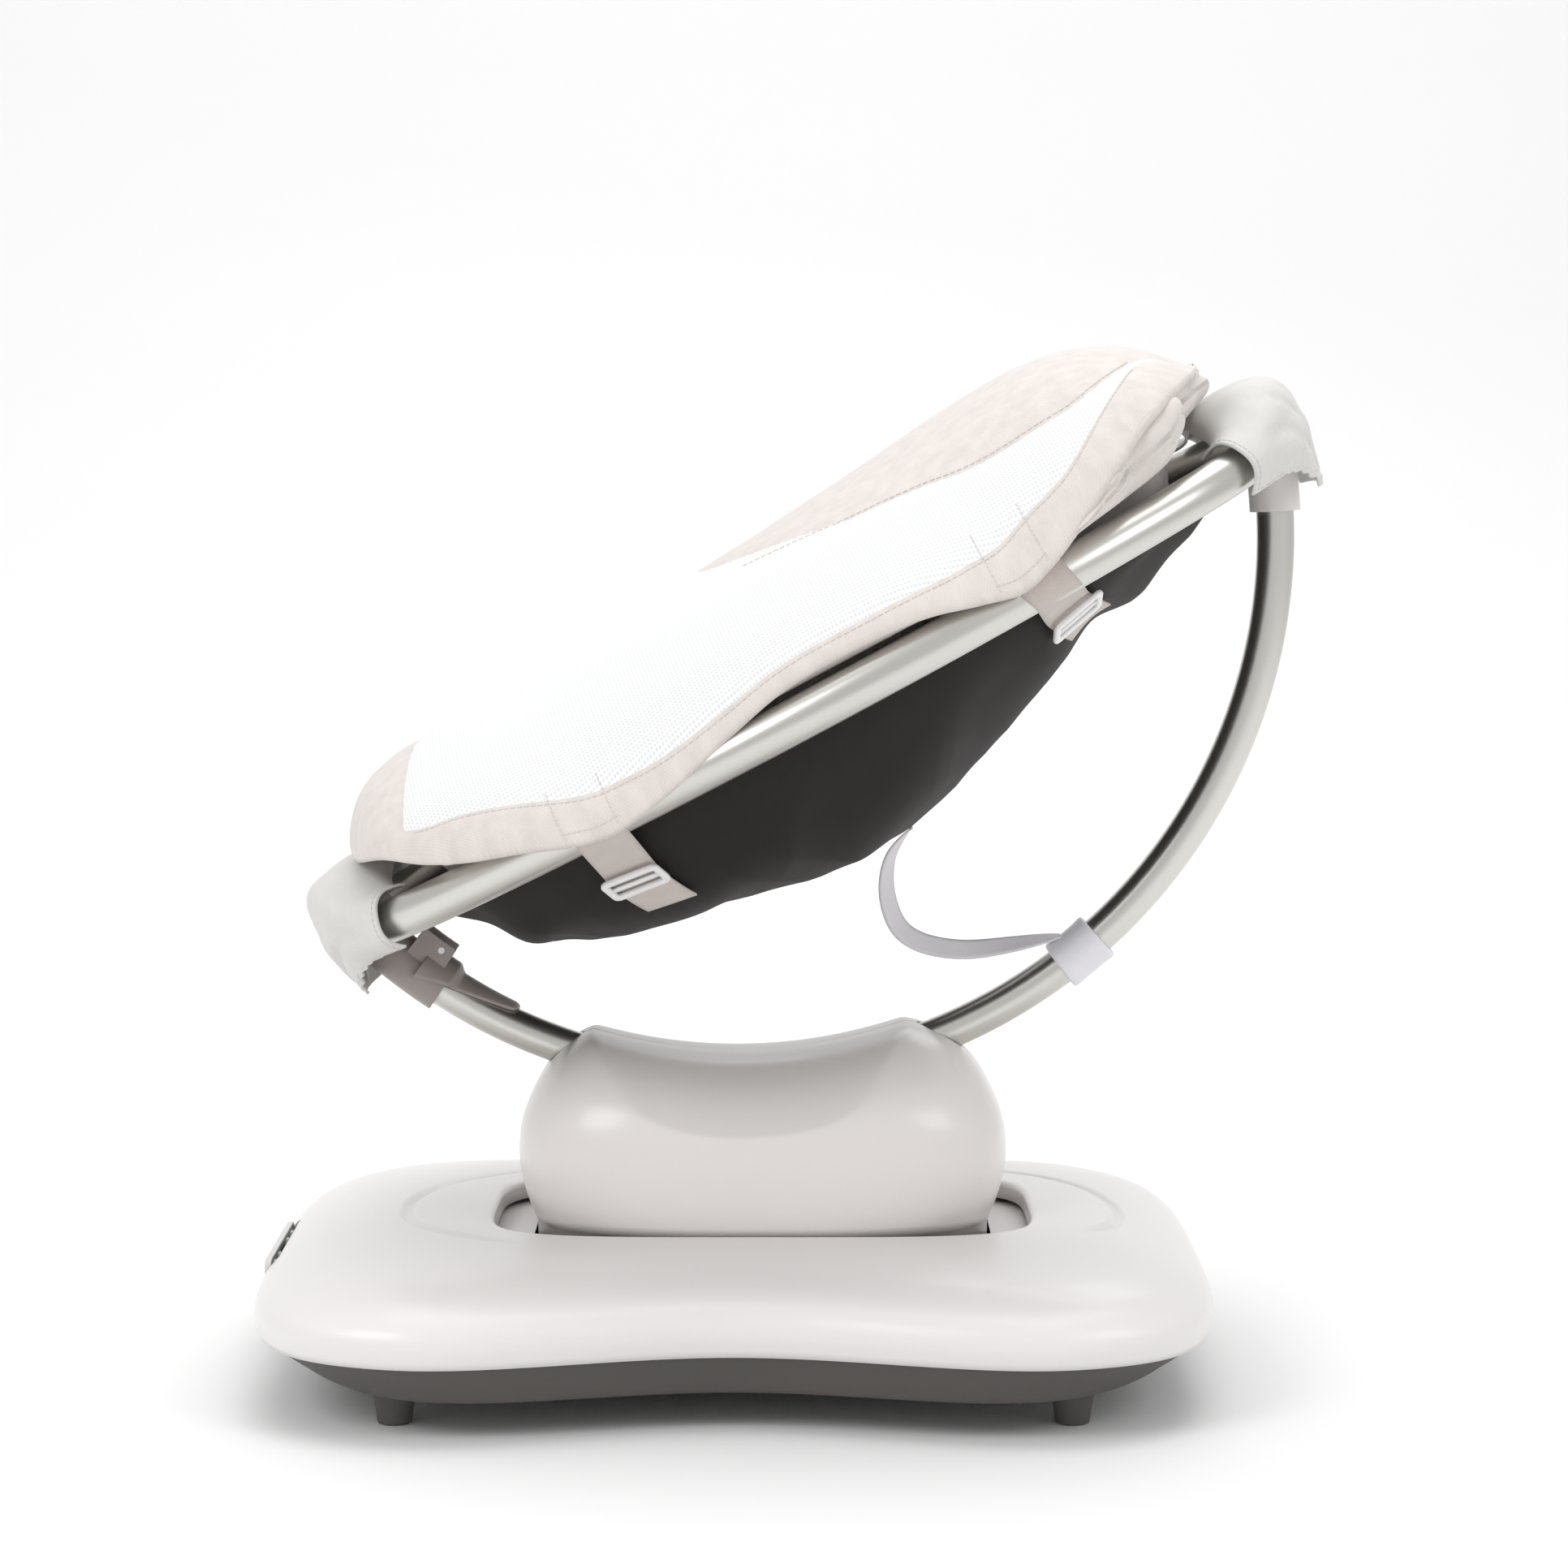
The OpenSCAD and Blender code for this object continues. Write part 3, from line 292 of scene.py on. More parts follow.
moulded_group.links.new(ripple.outputs["Fac"], g_out.inputs["Tint"])


def moulded(name, colour, rough, grain_size=900, grain_deep=0.00006, coat=0.0, shade=0.94):
    """Plastic of one colour, with the moulded grain in its bump, sheen and tint."""
    material, nodes, links, shader = finish(name, colour, rough)
    place = nodes.new("ShaderNodeTexCoord")
    group = nodes.new("ShaderNodeGroup")
    group.node_tree = moulded_group
    group.inputs["Grain size"].default_value = grain_size
    links.new(place.outputs["Object"], group.inputs["Vector"])
    bump = nodes.new("ShaderNodeBump")
    bump.inputs["Distance"].default_value = grain_deep
    bump.inputs["Strength"].default_value = 0.6
    links.new(group.outputs["Height"], bump.inputs["Height"])
    links.new(bump.outputs["Normal"], shader.inputs["Normal"])
    sheen = nodes.new("ShaderNodeMapRange")
    sheen.inputs["To Min"].default_value = rough * 0.85
    sheen.inputs["To Max"].default_value = min(1.0, rough * 1.15)
    links.new(group.outputs["Sheen"], sheen.inputs["Value"])
    links.new(sheen.outputs["Result"], shader.inputs["Roughness"])
    tint = nodes.new("ShaderNodeMix")
    tint.data_type = "RGBA"
    tint.inputs["A"].default_value = (*[c * shade for c in colour], 1)
    tint.inputs["B"].default_value = (*colour, 1)
    links.new(group.outputs["Tint"], tint.inputs["Factor"])
    links.new(tint.outputs["Result"], shader.inputs["Base Color"])
    shader.inputs["Coat Weight"].default_value = coat
    shader.inputs["Coat Roughness"].default_value = 0.15
    return material


cover_white = moulded("cover_white", (0.82, 0.795, 0.785), 0.34, coat=0.15)
cover.data.materials.clear()
cover.data.materials.append(cover_white)
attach(cover, "base")
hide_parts("base_cover")
frame["nodes"]["slot_shutter"].data.materials.clear()
frame["nodes"]["slot_shutter"].data.materials.append(cover_white)

# ---- Base pan
# The dark lower half of the base, drawn in steeply at both ends, with a shadow gap under the cover.
pan_line = cut_corners([
    (0.060, 0.020, 0.0218), (0.044, 0.012, 0.022), (0.030, 0.009, 0.027), (0.016, 0.006, 0.036),
    (0.005, 0.0025, 0.043), (0.003, 0.002, 0.0448)])
pan_rings = [base_ring(0.2, 0.16, 0.0218, turns)] + [base_ring(i, j, z, turns) for i, j, z in pan_line]
pan_rings += [base_ring(0.006, 0.005, 0.0449, turns), base_ring(0.2, 0.16, 0.044, turns)]
pan = skin("base_pan_moulding", pan_rings, caps=(True, True))
outward(pan)
pan_grey = moulded("pan_grey", (0.088, 0.080, 0.075), 0.55, grain_size=700, grain_deep=0.00012, shade=0.85)
pan.data.materials.append(pan_grey)
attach(pan, "base")
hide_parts("base_pan")

# ---- Feet
# Four tapered rubber feet, each set just into the pan's underside.
foot_rubber = moulded("foot_rubber", (0.115, 0.106, 0.100), 0.62, grain_size=1200, grain_deep=0.0001, shade=0.8)
for name in ("foot_front_left", "foot_front_right", "foot_rear_left", "foot_rear_right"):
    low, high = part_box(name)
    foot_x, foot_y = (low[0] + high[0]) / 2, (low[1] + high[1]) / 2
    profile = cut_corners([
        (0.0, 0.0), (0.0092, 0.0), (0.0101, 0.0008), (0.0112, 0.011), (0.0138, 0.0200), (0.0172, 0.0222)], 3)
    foot = skin(name + "_rubber", [
        [(foot_x + r * math.cos(a), foot_y + r * math.sin(a), z) for a in np.radians(range(0, 360, 6))]
        for r, z in profile[1:]], caps=(True, True))
    outward(foot)
    foot.data.materials.append(foot_rubber)
    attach(foot, "base")
    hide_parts(name)

# ---- Tower
# Two white shells that meet at the middle plane. The top is a saddle that follows the curved tube,
# which runs through a passage just under it.
tower_l, tower_d = 0.148, 0.095
tower_corner = 3.2
seam_z, skirt_z = 0.092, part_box("tower_front_shell")[0][2]
tube_r, bow_r = 0.01125, 0.324
saddle_r = bow_r - tube_r - 0.00475
tower_line = cut_corners([
    (0, -0.011, -0.001), (0.014, -0.005, 0), (0.034, -0.0005, 0), (0.050, -0.001, 0), (0.060, -0.003, -0.0015),
    (0.070, -0.007, -0.005), (0.080, -0.012, -0.011), (0.090, -0.018, -0.020), (0.100, -0.027, -0.032),
    (0.108, -0.038, -0.045), (0.116, -0.058, -0.062), (0.118, -0.085, -0.078), (0.119, -0.118, -0.088)], 3)
tower_turns = np.radians(np.linspace(0, 360, 360, endpoint=False))


saddle_fall = [(0, 0), (0.018, 0.0003), (0.036, 0.0030), (0.052, 0.0082), (0.066, 0.0150), (0.078, 0.0235),
               (0.088, 0.0330), (0.098, 0.0440), (0.115, 0.065)]


def smooth_table(table, x):
    """A smooth line through a table's points."""
    table = np.asarray(table, float)
    xs, ys = table.T
    slope = np.gradient(ys, xs)
    x = np.clip(np.asarray(x, float), xs[0], xs[-1])
    k = np.clip(np.searchsorted(xs, x) - 1, 0, len(xs) - 2)
    h = xs[k + 1] - xs[k]
    t = (x - xs[k]) / h
    return ((2 * t ** 3 - 3 * t ** 2 + 1) * ys[k] + (t ** 3 - 2 * t ** 2 + t) * h * slope[k]
            + (3 * t ** 2 - 2 * t ** 3) * ys[k + 1] + (t ** 3 - t ** 2) * h * slope[k + 1])


def saddle(x, y):
    """Height of the saddle, which is round about the turning axis and falls away to both sides."""
    r = saddle_r + smooth_table(saddle_fall, np.abs(y))
    return turn_z - np.sqrt(r * r - (x - turn_x) ** 2)


tower_rings = [np.column_stack([superellipse(tower_l - 0.012, tower_d - 0.002, tower_corner, tower_turns) + [tower_x, 0],
                                np.full(len(tower_turns), z)]) for z in (skirt_z, seam_z)]
for dz, dl, dd in tower_line:
    p = superellipse(tower_l + dl, tower_d + dd, tower_corner, tower_turns) + [tower_x, 0]
    z = np.full(len(p), seam_z + dz)
    gap = z - saddle(p[:, 0], p[:, 1])
    z = z - np.where(gap > -0.004, (gap + np.sqrt(gap * gap + 0.0000016)) / 2, 0)
    tower_rings.append(np.column_stack([p, z]))
for share in np.linspace(1, 0, 46)[1:-1]:
    p = superellipse((tower_l - 0.118) * share, (tower_d - 0.088) * share, tower_corner, tower_turns) + [tower_x, 0]
    tower_rings.append(np.column_stack([p, saddle(p[:, 0], p[:, 1])]))
tower = skin("tower_body", tower_rings, caps=(True, True))
outward(tower)


def arc_tube(name, radius, start, end, steps, sides, centre=(turn_x, 0, turn_z)):
    """A round bar about the turning axis, from one angle to another, measured from straight down."""
    rings = []
    for a in np.radians(np.linspace(start, end, steps)):
        for_b = np.radians(np.linspace(0, 360, sides, endpoint=False))
        r = bow_r + radius * np.cos(for_b)
        rings.append(np.column_stack([
            centre[0] + r * math.sin(a), centre[1] + radius * np.sin(for_b), centre[2] - r * math.cos(a)]))
    return skin(name, rings, caps=(True, True))


cutter = arc_tube("cutter", tube_r + 0.0010, -40, 45, 160, 48)
outward(cutter)
carve(tower, cutter)
tower_white = moulded("tower_white", (0.79, 0.755, 0.735), 0.30, coat=0.2)
tower.data.materials.clear()
tower.data.materials.append(tower_white)
for name, side in (("tower_front_shell", -1), ("tower_rear_shell", 1)):
    half = put_in(name + "_moulding", tower.data.copy())
    bm = bmesh.new()
    bm.from_mesh(half.data)
    cut = bmesh.ops.bisect_plane(bm, geom=bm.verts[:] + bm.edges[:] + bm.faces[:], dist=1e-7,
                                 plane_co=(0, side * 0.00018, 0), plane_no=(0, side, 0), clear_inner=True)
    bmesh.ops.holes_fill(bm, edges=[e for e in bm.edges if e.is_boundary], sides=0)
    bm.to_mesh(half.data)
    bm.free()
    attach(half, "tower")
    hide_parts(name)
bpy.data.objects.remove(tower)

# ---- Seat tubes
# Satin anodised aluminium: the curved tube that turns in the tower, and the two halves of the oval ring.
alloy, nodes, links, shader = finish("satin_alloy", (0.64, 0.63, 0.595), 0.3, 1.0)
place = nodes.new("ShaderNodeTexCoord")
brushed = nodes.new("ShaderNodeTexNoise")
brushed.inputs["Scale"].default_value = 1500
brushed.inputs["Detail"].default_value = 2
cloud = nodes.new("ShaderNodeTexNoise")
cloud.inputs["Scale"].default_value = 14
links.new(place.outputs["Object"], brushed.inputs["Vector"])
links.new(place.outputs["Object"], cloud.inputs["Vector"])
matt = nodes.new("ShaderNodeMapRange")
matt.inputs["To Min"].default_value = 0.26
matt.inputs["To Max"].default_value = 0.36
links.new(cloud.outputs["Fac"], matt.inputs["Value"])
links.new(matt.outputs["Result"], shader.inputs["Roughness"])
fine = nodes.new("ShaderNodeBump")
fine.inputs["Distance"].default_value = 0.00003
fine.inputs["Strength"].default_value = 0.5
links.new(brushed.outputs["Fac"], fine.inputs["Height"])
links.new(fine.outputs["Normal"], shader.inputs["Normal"])

tilt = math.radians(28.2)
ring_half_l, ring_end_r, ring_side_r, ring_r = 0.309, 0.160, 0.434, 0.0127
ring_n = -math.sqrt(bow_r ** 2 - ring_half_l ** 2)
hub_angle = math.degrees(math.atan2(ring_half_l, -ring_n))
bow = arc_tube("bow_tube_alloy", tube_r, 28.2 - hub_angle + 2.6, 28.2 + hub_angle - 2.6, 260, 56)
outward(bow)
bow.data.materials.append(alloy)
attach(bow, "seat")
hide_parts("bow_tube")


def in_seat(points):
    """Points given as (along, across, above the turning centre) in the seat's own frame, put in the row frame."""
    points = np.atleast_2d(np.array(points, float))
    s, y, n = points.T
    return np.column_stack([turn_x + s * math.cos(tilt) - n * math.sin(tilt), y,
                            turn_z + s * math.sin(tilt) + n * math.cos(tilt)])


ring_end_s = ring_half_l - ring_end_r
ring_off = math.sqrt((ring_side_r - ring_end_r) ** 2 - ring_end_s ** 2)
ring_join = math.atan2(ring_end_s, ring_off)


def ring_w(s):
    """Half-width of the ring's centreline at a place along the seat."""
    s = np.abs(np.asarray(s, float))
    side = np.sqrt(ring_side_r ** 2 - np.minimum(s, 0.3) ** 2) - ring_off
    end = np.sqrt(np.maximum(0, ring_end_r ** 2 - (s - ring_end_s) ** 2))
    return np.where(s < ring_side_r * math.sin(ring_join), side, end)


def sweep_tube(name, path, directions, radius, sides=44):
    """A round bar along points in the seat's plane, given their directions in that plane."""
    b = np.radians(np.linspace(0, 360, sides, endpoint=False))
    rings = [in_seat(np.column_stack([
        p[0] + radius * np.cos(b) * -math.sin(t), p[1] + radius * np.cos(b) * math.cos(t),
        ring_n + radius * np.sin(b)]))
        for p, t in zip(path, directions)]
    return skin(name, rings, caps=(True, True))


for name, side in (("ring_tube_near", -1), ("ring_tube_far", 1)):
    angles = np.concatenate([
        np.linspace(math.pi + 0.002, 1.5 * math.pi - ring_join, 60),
        np.linspace(1.5 * math.pi - ring_join, 1.5 * math.pi + ring_join, 90)[1:],
        np.linspace(1.5 * math.pi + ring_join, 2 * math.pi - 0.002, 60)[1:]])
    kinds = np.array([0] * 60 + [1] * 89 + [2] * 59)
    centres = np.array([(-ring_end_s, 0), (0, ring_off), (ring_end_s, 0)])[kinds]
    radii = np.array([ring_end_r, ring_side_r, ring_end_r])[kinds]
    path = centres + radii[:, None] * np.column_stack([np.cos(angles), np.sin(angles)])
    path[:, 1] *= -side
    tube = sweep_tube(name + "_alloy", path, (angles + math.pi / 2) * -side, ring_r)
    outward(tube)
    tube.data.materials.append(alloy)
    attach(tube, "seat")
    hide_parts(name)

# ---- Hubs, lever and clip
# Moulded tees that join the tubes at both ends, the recline lever at the foot end, which lies along the
# curved tube as a thin hooked tongue, and the split ring that slides on the tube and holds the tether.
handle_grey = moulded("handle_grey", (0.36, 0.315, 0.295), 0.42, shade=0.88)
frame["nodes"]["head_hub"].data.materials[0] = tower_white
frame["nodes"]["foot_hub"].data.materials[0] = handle_grey


def on_bow(points):
    """Points given as (angle in degrees from straight down in the seat's frame, radius, across)."""
    a, r, y = np.array(points, float).T
    a = np.radians(a)
    return in_seat(np.column_stack([r * np.sin(a), y, -r * np.cos(a)]))


lever_rings = []
for a in np.concatenate([
        np.linspace(-64.9, -64.6, 4), np.linspace(-64.5, -53.7, 80), np.linspace(-53.6, -53.1, 8)]):
    along = (a + 64.9) / 11.8
    round_end = math.sqrt(max(0.0, 1 - max(0.0, (a + 53.9) / 0.82) ** 2))
    gap = 0.0118 + 0.0041 * float(ease((-60.1 - a) / 1.3))
    thick = (0.0031 - 0.0006 * along) * max(0.35, round_end)
    half = math.radians(97 - 62 * along ** 0.8) * max(0.2, round_end)
    section = []
    for c, d in [(c, 1.0) for c in np.linspace(-1, 1, 25)] + [(1.0, d) for d in (0.7, 0.3)] + \
            [(c, 0.0) for c in np.linspace(1, -1, 25)] + [(-1.0, d) for d in (0.3, 0.7)]:
        swell = 1 + 0.02 * math.sin(math.pi * d)
        radius = gap + thick * d
        section.append((a, bow_r - radius * math.cos(c * half * swell), radius * math.sin(c * half * swell)))
    lever_rings.append(on_bow(section))
lever = skin("recline_lever_tongue", lever_rings, caps=(True, True))
outward(lever)
lever.data.materials.append(handle_grey)
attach(lever, "recline_lever")
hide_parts("recline_lever")

clip_white = moulded("clip_white", (0.80, 0.79, 0.83), 0.32, coat=0.1)
clip_mid = 39.9 - 28.2
clip_rings = []
clip_section = cut_corners([(0.0116, -2.55), (0.0150, -2.7), (0.0158, -2.2), (0.0152, -1.4), (0.0152, 1.4), (0.0158, 2.2),
                            (0.0150, 2.7), (0.0116, 2.55)], 2)
for b in np.radians(np.linspace(0, 360, 72, endpoint=False)):
    clip_rings.append(on_bow([(clip_mid + a, bow_r + r * math.cos(b), r * math.sin(b)) for r, a in clip_section]))
clip = skin("strap_clip_ring", clip_rings, closed=True)
outward(clip)
clip.data.materials.append(clip_white)
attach(clip, "strap_clip")
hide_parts("strap_clip")

# ---- Sling
# Black woven nylon, hung from the ring and cut so that it makes a long shallow bag. It carries the pad.
sling_half_l, sling_room = 0.268, 0.0015
sling_points = np.array([
    (-268, 6), (-256, 13), (-245, 21), (-230, 35), (-222, 50), (-196, 64), (-163, 76), (-104, 89), (-53, 98),
    (0, 100), (32, 95), (67, 82), (101, 70), (138, 54), (161, 41), (198, 39), (222, 29), (245, 20),
    (268, 6)]) / 1000


def ring_inside(s, inset):
    s = np.abs(np.asarray(s, float))
    side, end = ring_side_r - inset, ring_end_r - inset
    return np.where(s < side * math.sin(ring_join), np.sqrt(side ** 2 - np.minimum(s, 0.3) ** 2) - ring_off,
                    np.sqrt(np.maximum(0, end ** 2 - (s - ring_end_s) ** 2)))


def folds(x, y, seed, size, count=9):
    """Soft long folds: waves of several directions and lengths, sharpened along their crests."""
    chance = np.random.default_rng(seed)
    total = np.zeros_like(x)
    for _ in range(count):
        turn, wave, start = chance.uniform(-0.6, 0.6), chance.uniform(16, 42), chance.uniform(0, 6.3)
        total += (1 - np.abs(np.sin(wave * (x * math.cos(turn) + y * math.sin(turn)) + start))) ** 2.2 - 0.35
    return size * total / count * 2


def grid(name, points, uv, wrap=False, smooth=True):
    """A mesh over a rows-by-columns table of points, with its flat cloth coordinates in metres as a UV map."""
    rows, cols = points.shape[:2]
    faces = [(i * cols + j, i * cols + (j + 1) % cols, (i + 1) * cols + (j + 1) % cols, (i + 1) * cols + j)
             for i in range(rows - 1) for j in range(cols if wrap else cols - 1)]
    mesh = bpy.data.meshes.new(name)
    mesh.from_pydata(points.reshape(-1, 3).tolist(), [], faces)
    layer = mesh.uv_layers.new(name="cloth")
    flat = uv.reshape(-1, 2)
    layer.data.foreach_set("uv", flat[[l.vertex_index for l in mesh.loops]].ravel())
    mesh.polygons.foreach_set("use_smooth", [smooth] * len(mesh.polygons))
    piece = put_in(name, mesh)
    return piece


s_lines, v_lines = np.linspace(-sling_half_l, sling_half_l, 200), np.linspace(-1, 1, 150)
S, V = np.meshgrid(s_lines, v_lines, indexing="ij")
sling_across = ring_inside(S, ring_r + sling_room)
sling_deep = smooth_table(sling_points, S) * np.maximum(0, 1 - np.abs(V) ** 2.6) ** 0.8
loose = ease((1 - np.abs(V)) / 0.25) * ease((sling_half_l - np.abs(S)) / 0.03)
loose = loose * (1 - 0.9 * np.exp(-((S + 0.137) / 0.026) ** 2)) * (1 - 0.9 * np.exp(-((S - 0.152) / 0.026) ** 2))
sling_deep = sling_deep + folds(S, V * 0.2, 11, 0.0042) * loose + 0.0016 * loose * np.sin(V * 9 + S * 55)
P = in_seat(np.column_stack([S.ravel(), (V * sling_across).ravel(), (ring_n - 0.003 - sling_deep).ravel()]))
lengths = np.linalg.norm(np.diff(P.reshape(200, 150, 3), axis=1), axis=2)
sling_uv = np.dstack([S, np.hstack([np.zeros((200, 1)), np.cumsum(lengths, 1)])])
sling = grid("sling_cloth", P.reshape(200, 150, 3), sling_uv)
thicken(sling, 0.0015, 0)

# Woven cloth: two sets of threads at right angles, uneven, from the piece's own flat coordinates
woven_group, g_in, g_out = new_group(
    "woven_cloth", {"Threads": 1100, "Slub": 60}, {"Height": "NodeSocketFloat", "Shade": "NodeSocketFloat"})
both = []
split = woven_group.nodes.new("ShaderNodeSeparateXYZ")
woven_group.links.new(g_in.outputs["Vector"], split.inputs["Vector"])


def sum_node(tree, kind, a, b=None):
    """One math step between two sockets or numbers."""
    node = tree.nodes.new("ShaderNodeMath")
    node.operation = kind
    for socket, value in zip(node.inputs, (a, b)):
        if value is None:
            continue
        if isinstance(value, (int, float)):
            socket.default_value = value
        else:
            tree.links.new(value, socket)
    return node.outputs["Value"]


for axis in ("X", "Y"):
    angle = sum_node(woven_group, "MULTIPLY", split.outputs[axis], g_in.outputs["Threads"])
    both.append(sum_node(woven_group, "SINE", sum_node(woven_group, "MULTIPLY", angle, 6.2832)))
slub = woven_group.nodes.new("ShaderNodeTexNoise")
slub.inputs["Detail"].default_value = 4
woven_group.links.new(g_in.outputs["Vector"], slub.inputs["Vector"])
woven_group.links.new(g_in.outputs["Slub"], slub.inputs["Scale"])
cross = sum_node(woven_group, "MULTIPLY", both[0], both[1])
woven_group.links.new(
    sum_node(woven_group, "ADD", sum_node(woven_group, "MULTIPLY", cross, 0.5), slub.outputs["Fac"]),
    g_out.inputs["Height"])
woven_group.links.new(
    sum_node(woven_group, "ADD", sum_node(woven_group, "MULTIPLY", cross, 0.12), slub.outputs["Fac"]),
    g_out.inputs["Shade"])


def cloth(name, colour, rough, threads=1100, deep=0.00025, shade=0.86, sheen=0.3, slub=60):
    """Woven or knitted cloth of one yarn colour, on the piece's flat coordinates."""
    material, nodes, links, shader = finish(name, colour, rough)
    flat = nodes.new("ShaderNodeUVMap")
    flat.uv_map = "cloth"
    group = nodes.new("ShaderNodeGroup")
    group.node_tree = woven_group
    group.inputs["Threads"].default_value = threads
    group.inputs["Slub"].default_value = slub
    links.new(flat.outputs["UV"], group.inputs["Vector"])
    bump = nodes.new("ShaderNodeBump")
    bump.inputs["Distance"].default_value = deep
    bump.inputs["Strength"].default_value = 0.7
    links.new(group.outputs["Height"], bump.inputs["Height"])
    links.new(bump.outputs["Normal"], shader.inputs["Normal"])
    tint = nodes.new("ShaderNodeMix")
    tint.data_type = "RGBA"
    tint.inputs["A"].default_value = (*[c * shade for c in colour], 1)
    tint.inputs["B"].default_value = (*colour, 1)
    links.new(group.outputs["Shade"], tint.inputs["Factor"])
    links.new(tint.outputs["Result"], shader.inputs["Base Color"])
    shader.inputs["Sheen Weight"].default_value = sheen
    shader.inputs["Sheen Roughness"].default_value = 0.5
    return material


nylon = cloth("black_nylon", (0.0125, 0.0088, 0.0080), 0.62, threads=1400, deep=0.0002, shade=0.7, sheen=0.0)
nylon.node_tree.nodes["Principled BSDF"].inputs["Specular IOR Level"].default_value = 0.28
sling.data.materials.append(nylon)
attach(sling, "seat")
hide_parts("sling")

# ---- Seat pad
# A stuffed cushion on the sling: beige knit round the rim and under the head, white spacer mesh on the
# two wings, sewn together along seams. Its rim is pulled down over the tubes where the straps are.
pad_half_l, pad_half_w = 0.290, 0.212
pad_crown = np.array([
    (-290, 46), (-286, 54), (-280, 62), (-272, 70), (-262, 76), (-248, 80), (-220, 83), (-120, 88), (0, 94),
    (78, 99), (160, 108), (199, 109), (237, 101), (262, 88), (278, 71), (286, 63), (290, 60)]) / 1000
pad_rim = np.array([
    (-290, 40), (-262, 37), (-240, 26), (-220, 18), (-183, 7), (-157, -2), (-136, -7), (-107, -4), (-47, 11),
    (-12, 19), (33, 21), (81, 17), (110, 9), (135, 4), (150, 8), (167, 15), (198, 31), (228, 46), (267, 58),
    (290, 60)]) / 1000
rim_seam = np.array([
    (-290, 0.80), (-262, 0.86), (-239, 0.895), (-210, 0.88), (-181, 0.894), (-127, 0.932), (-81, 0.958),
    (0, 0.968), (89, 0.955), (122, 0.93), (150, 0.91), (198, 0.90), (235, 0.80), (262, 0.64), (290, 0.5)])
panel_seam = np.array([
    (-60, 0.30), (-20, 0.42), (40, 0.53), (121, 0.63), (144, 0.67), (176, 0.71), (213, 0.745), (250, 0.66),
    (262, 0.60), (290, 0.5)])


def pad_width(s):
    return pad_half_w * np.maximum(0, 1 - np.minimum(1, np.abs(s) / pad_half_l) ** 3.4) ** 0.42


def table_at(table, s, unit=1000):
    t = np.array(table, float)
    if unit == 1000:
        t[:, 0] /= 1000
    return smooth_table(t, s)


def pad_height(s, v):
    rim, crown = smooth_table(pad_rim, s), smooth_table(pad_crown, s)
    return rim + 0.0018 + (np.maximum(crown - rim - 0.0018, 0)) * np.maximum(0, 1 - np.abs(v) ** 2.2) ** 0.72


around, deep_steps = 300, 62
tau = np.linspace(0, 2 * math.pi, 4001)
outline = np.column_stack([pad_half_l * np.sign(np.cos(tau)) * np.abs(np.cos(tau)) ** (2 / 3.4),
                           pad_half_w * np.sign(np.sin(tau)) * np.abs(np.sin(tau)) ** 0.84])
run = np.concatenate([[0], np.cumsum(np.linalg.norm(np.diff(outline, axis=0), axis=1))])
even = np.linspace(0, run[-1], around, endpoint=False)
outline = np.column_stack([np.interp(even, run, outline[:, k]) for k in (0, 1)])

pad_verts, pad_uv, pad_fields, pad_hold = [], [], [], []
shares = np.cos(np.linspace(0, math.pi / 2, deep_steps + 1))[:-1]
for side in ("top", "under"):
    for k, f in enumerate(shares):
        if side == "under" and (k == 0 or k % 2):
            continue
        s, y = outline[:, 0] * f, outline[:, 1] * f
        v = np.clip(np.abs(y) / np.maximum(pad_width(s), 1e-6), 0, 1)
        rim_field = (v - table_at(rim_seam, s)) * np.maximum(pad_width(s), 0.05)
        foot_line = -0.246 + 0.020 * (1 - v ** 2)
        rim_field = np.maximum(rim_field, foot_line - s)
        panel_field = np.minimum(
            (table_at(panel_seam, s) - v) * np.maximum(pad_width(s), 0.05), s + 0.030 - 0.30 * v ** 2)
        if side == "top":
            h = pad_height(s, v)
            h = h - 0.0016 * np.exp(-(rim_field / 0.0032) ** 2) - 0.0012 * np.exp(-(panel_field / 0.0034) ** 2)
            hold = np.where(np.abs(rim_field) < 0.004, 1.0, np.where(np.abs(panel_field) < 0.003, 0.9, 0.0))
            hold = np.where(rim_field > 0, 1.0, hold)
        else:
            away = (1 - f) * np.hypot(outline[:, 0], outline[:, 1])
            tube_top = (0.0157 + 0.0253 * ease((np.hypot(np.abs(s) - ring_end_s, y) - 0.096) / 0.020)
                        * ease((np.abs(s) - 0.225) / 0.03))
            inside = (ease((ring_inside(s, ring_r + sling_room) - 0.014 - np.abs(y)) / 0.06)
                      * (1 - ease((np.abs(s) - 0.225) / 0.03)))
            low = tube_top - inside * (tube_top + 0.62 * smooth_table(sling_points, s))
            reach = 0.015 + 0.035 * ease((s - 0.15) / 0.05)
            h = (smooth_table(pad_rim, s) - 0.0018) * (1 - ease(away / reach)) + low * ease(away / reach)
            hold = np.ones(around)
        pad_verts.append(in_seat(np.column_stack([s, y, ring_n + h])))
        pad_uv.append(np.column_stack([s, y]))
        pad_fields.append(np.column_stack([rim_field, panel_field if side == "top" else panel_field * 0 - 1,
                                           np.full(around, 0.0 if side == "top" else 1.0)]))
        pad_hold.append(hold)
rows = deep_steps
under_rows = len(pad_verts) - rows
verts = np.vstack(pad_verts)
centre = [in_seat([(0, 0, ring_n + float(pad_height(np.array(0.0), np.array(0.0))))])[0],
          in_seat([(0, 0, ring_n - 0.62 * 0.1)])[0]]
verts = np.vstack([verts, centre])
faces = []
for k in range(rows - 1):
    faces += [(k * around + i, k * around + (i + 1) % around,
               (k + 1) * around + (i + 1) % around, (k + 1) * around + i)
              for i in range(around)]
order = [0] + list(range(rows, rows + under_rows))
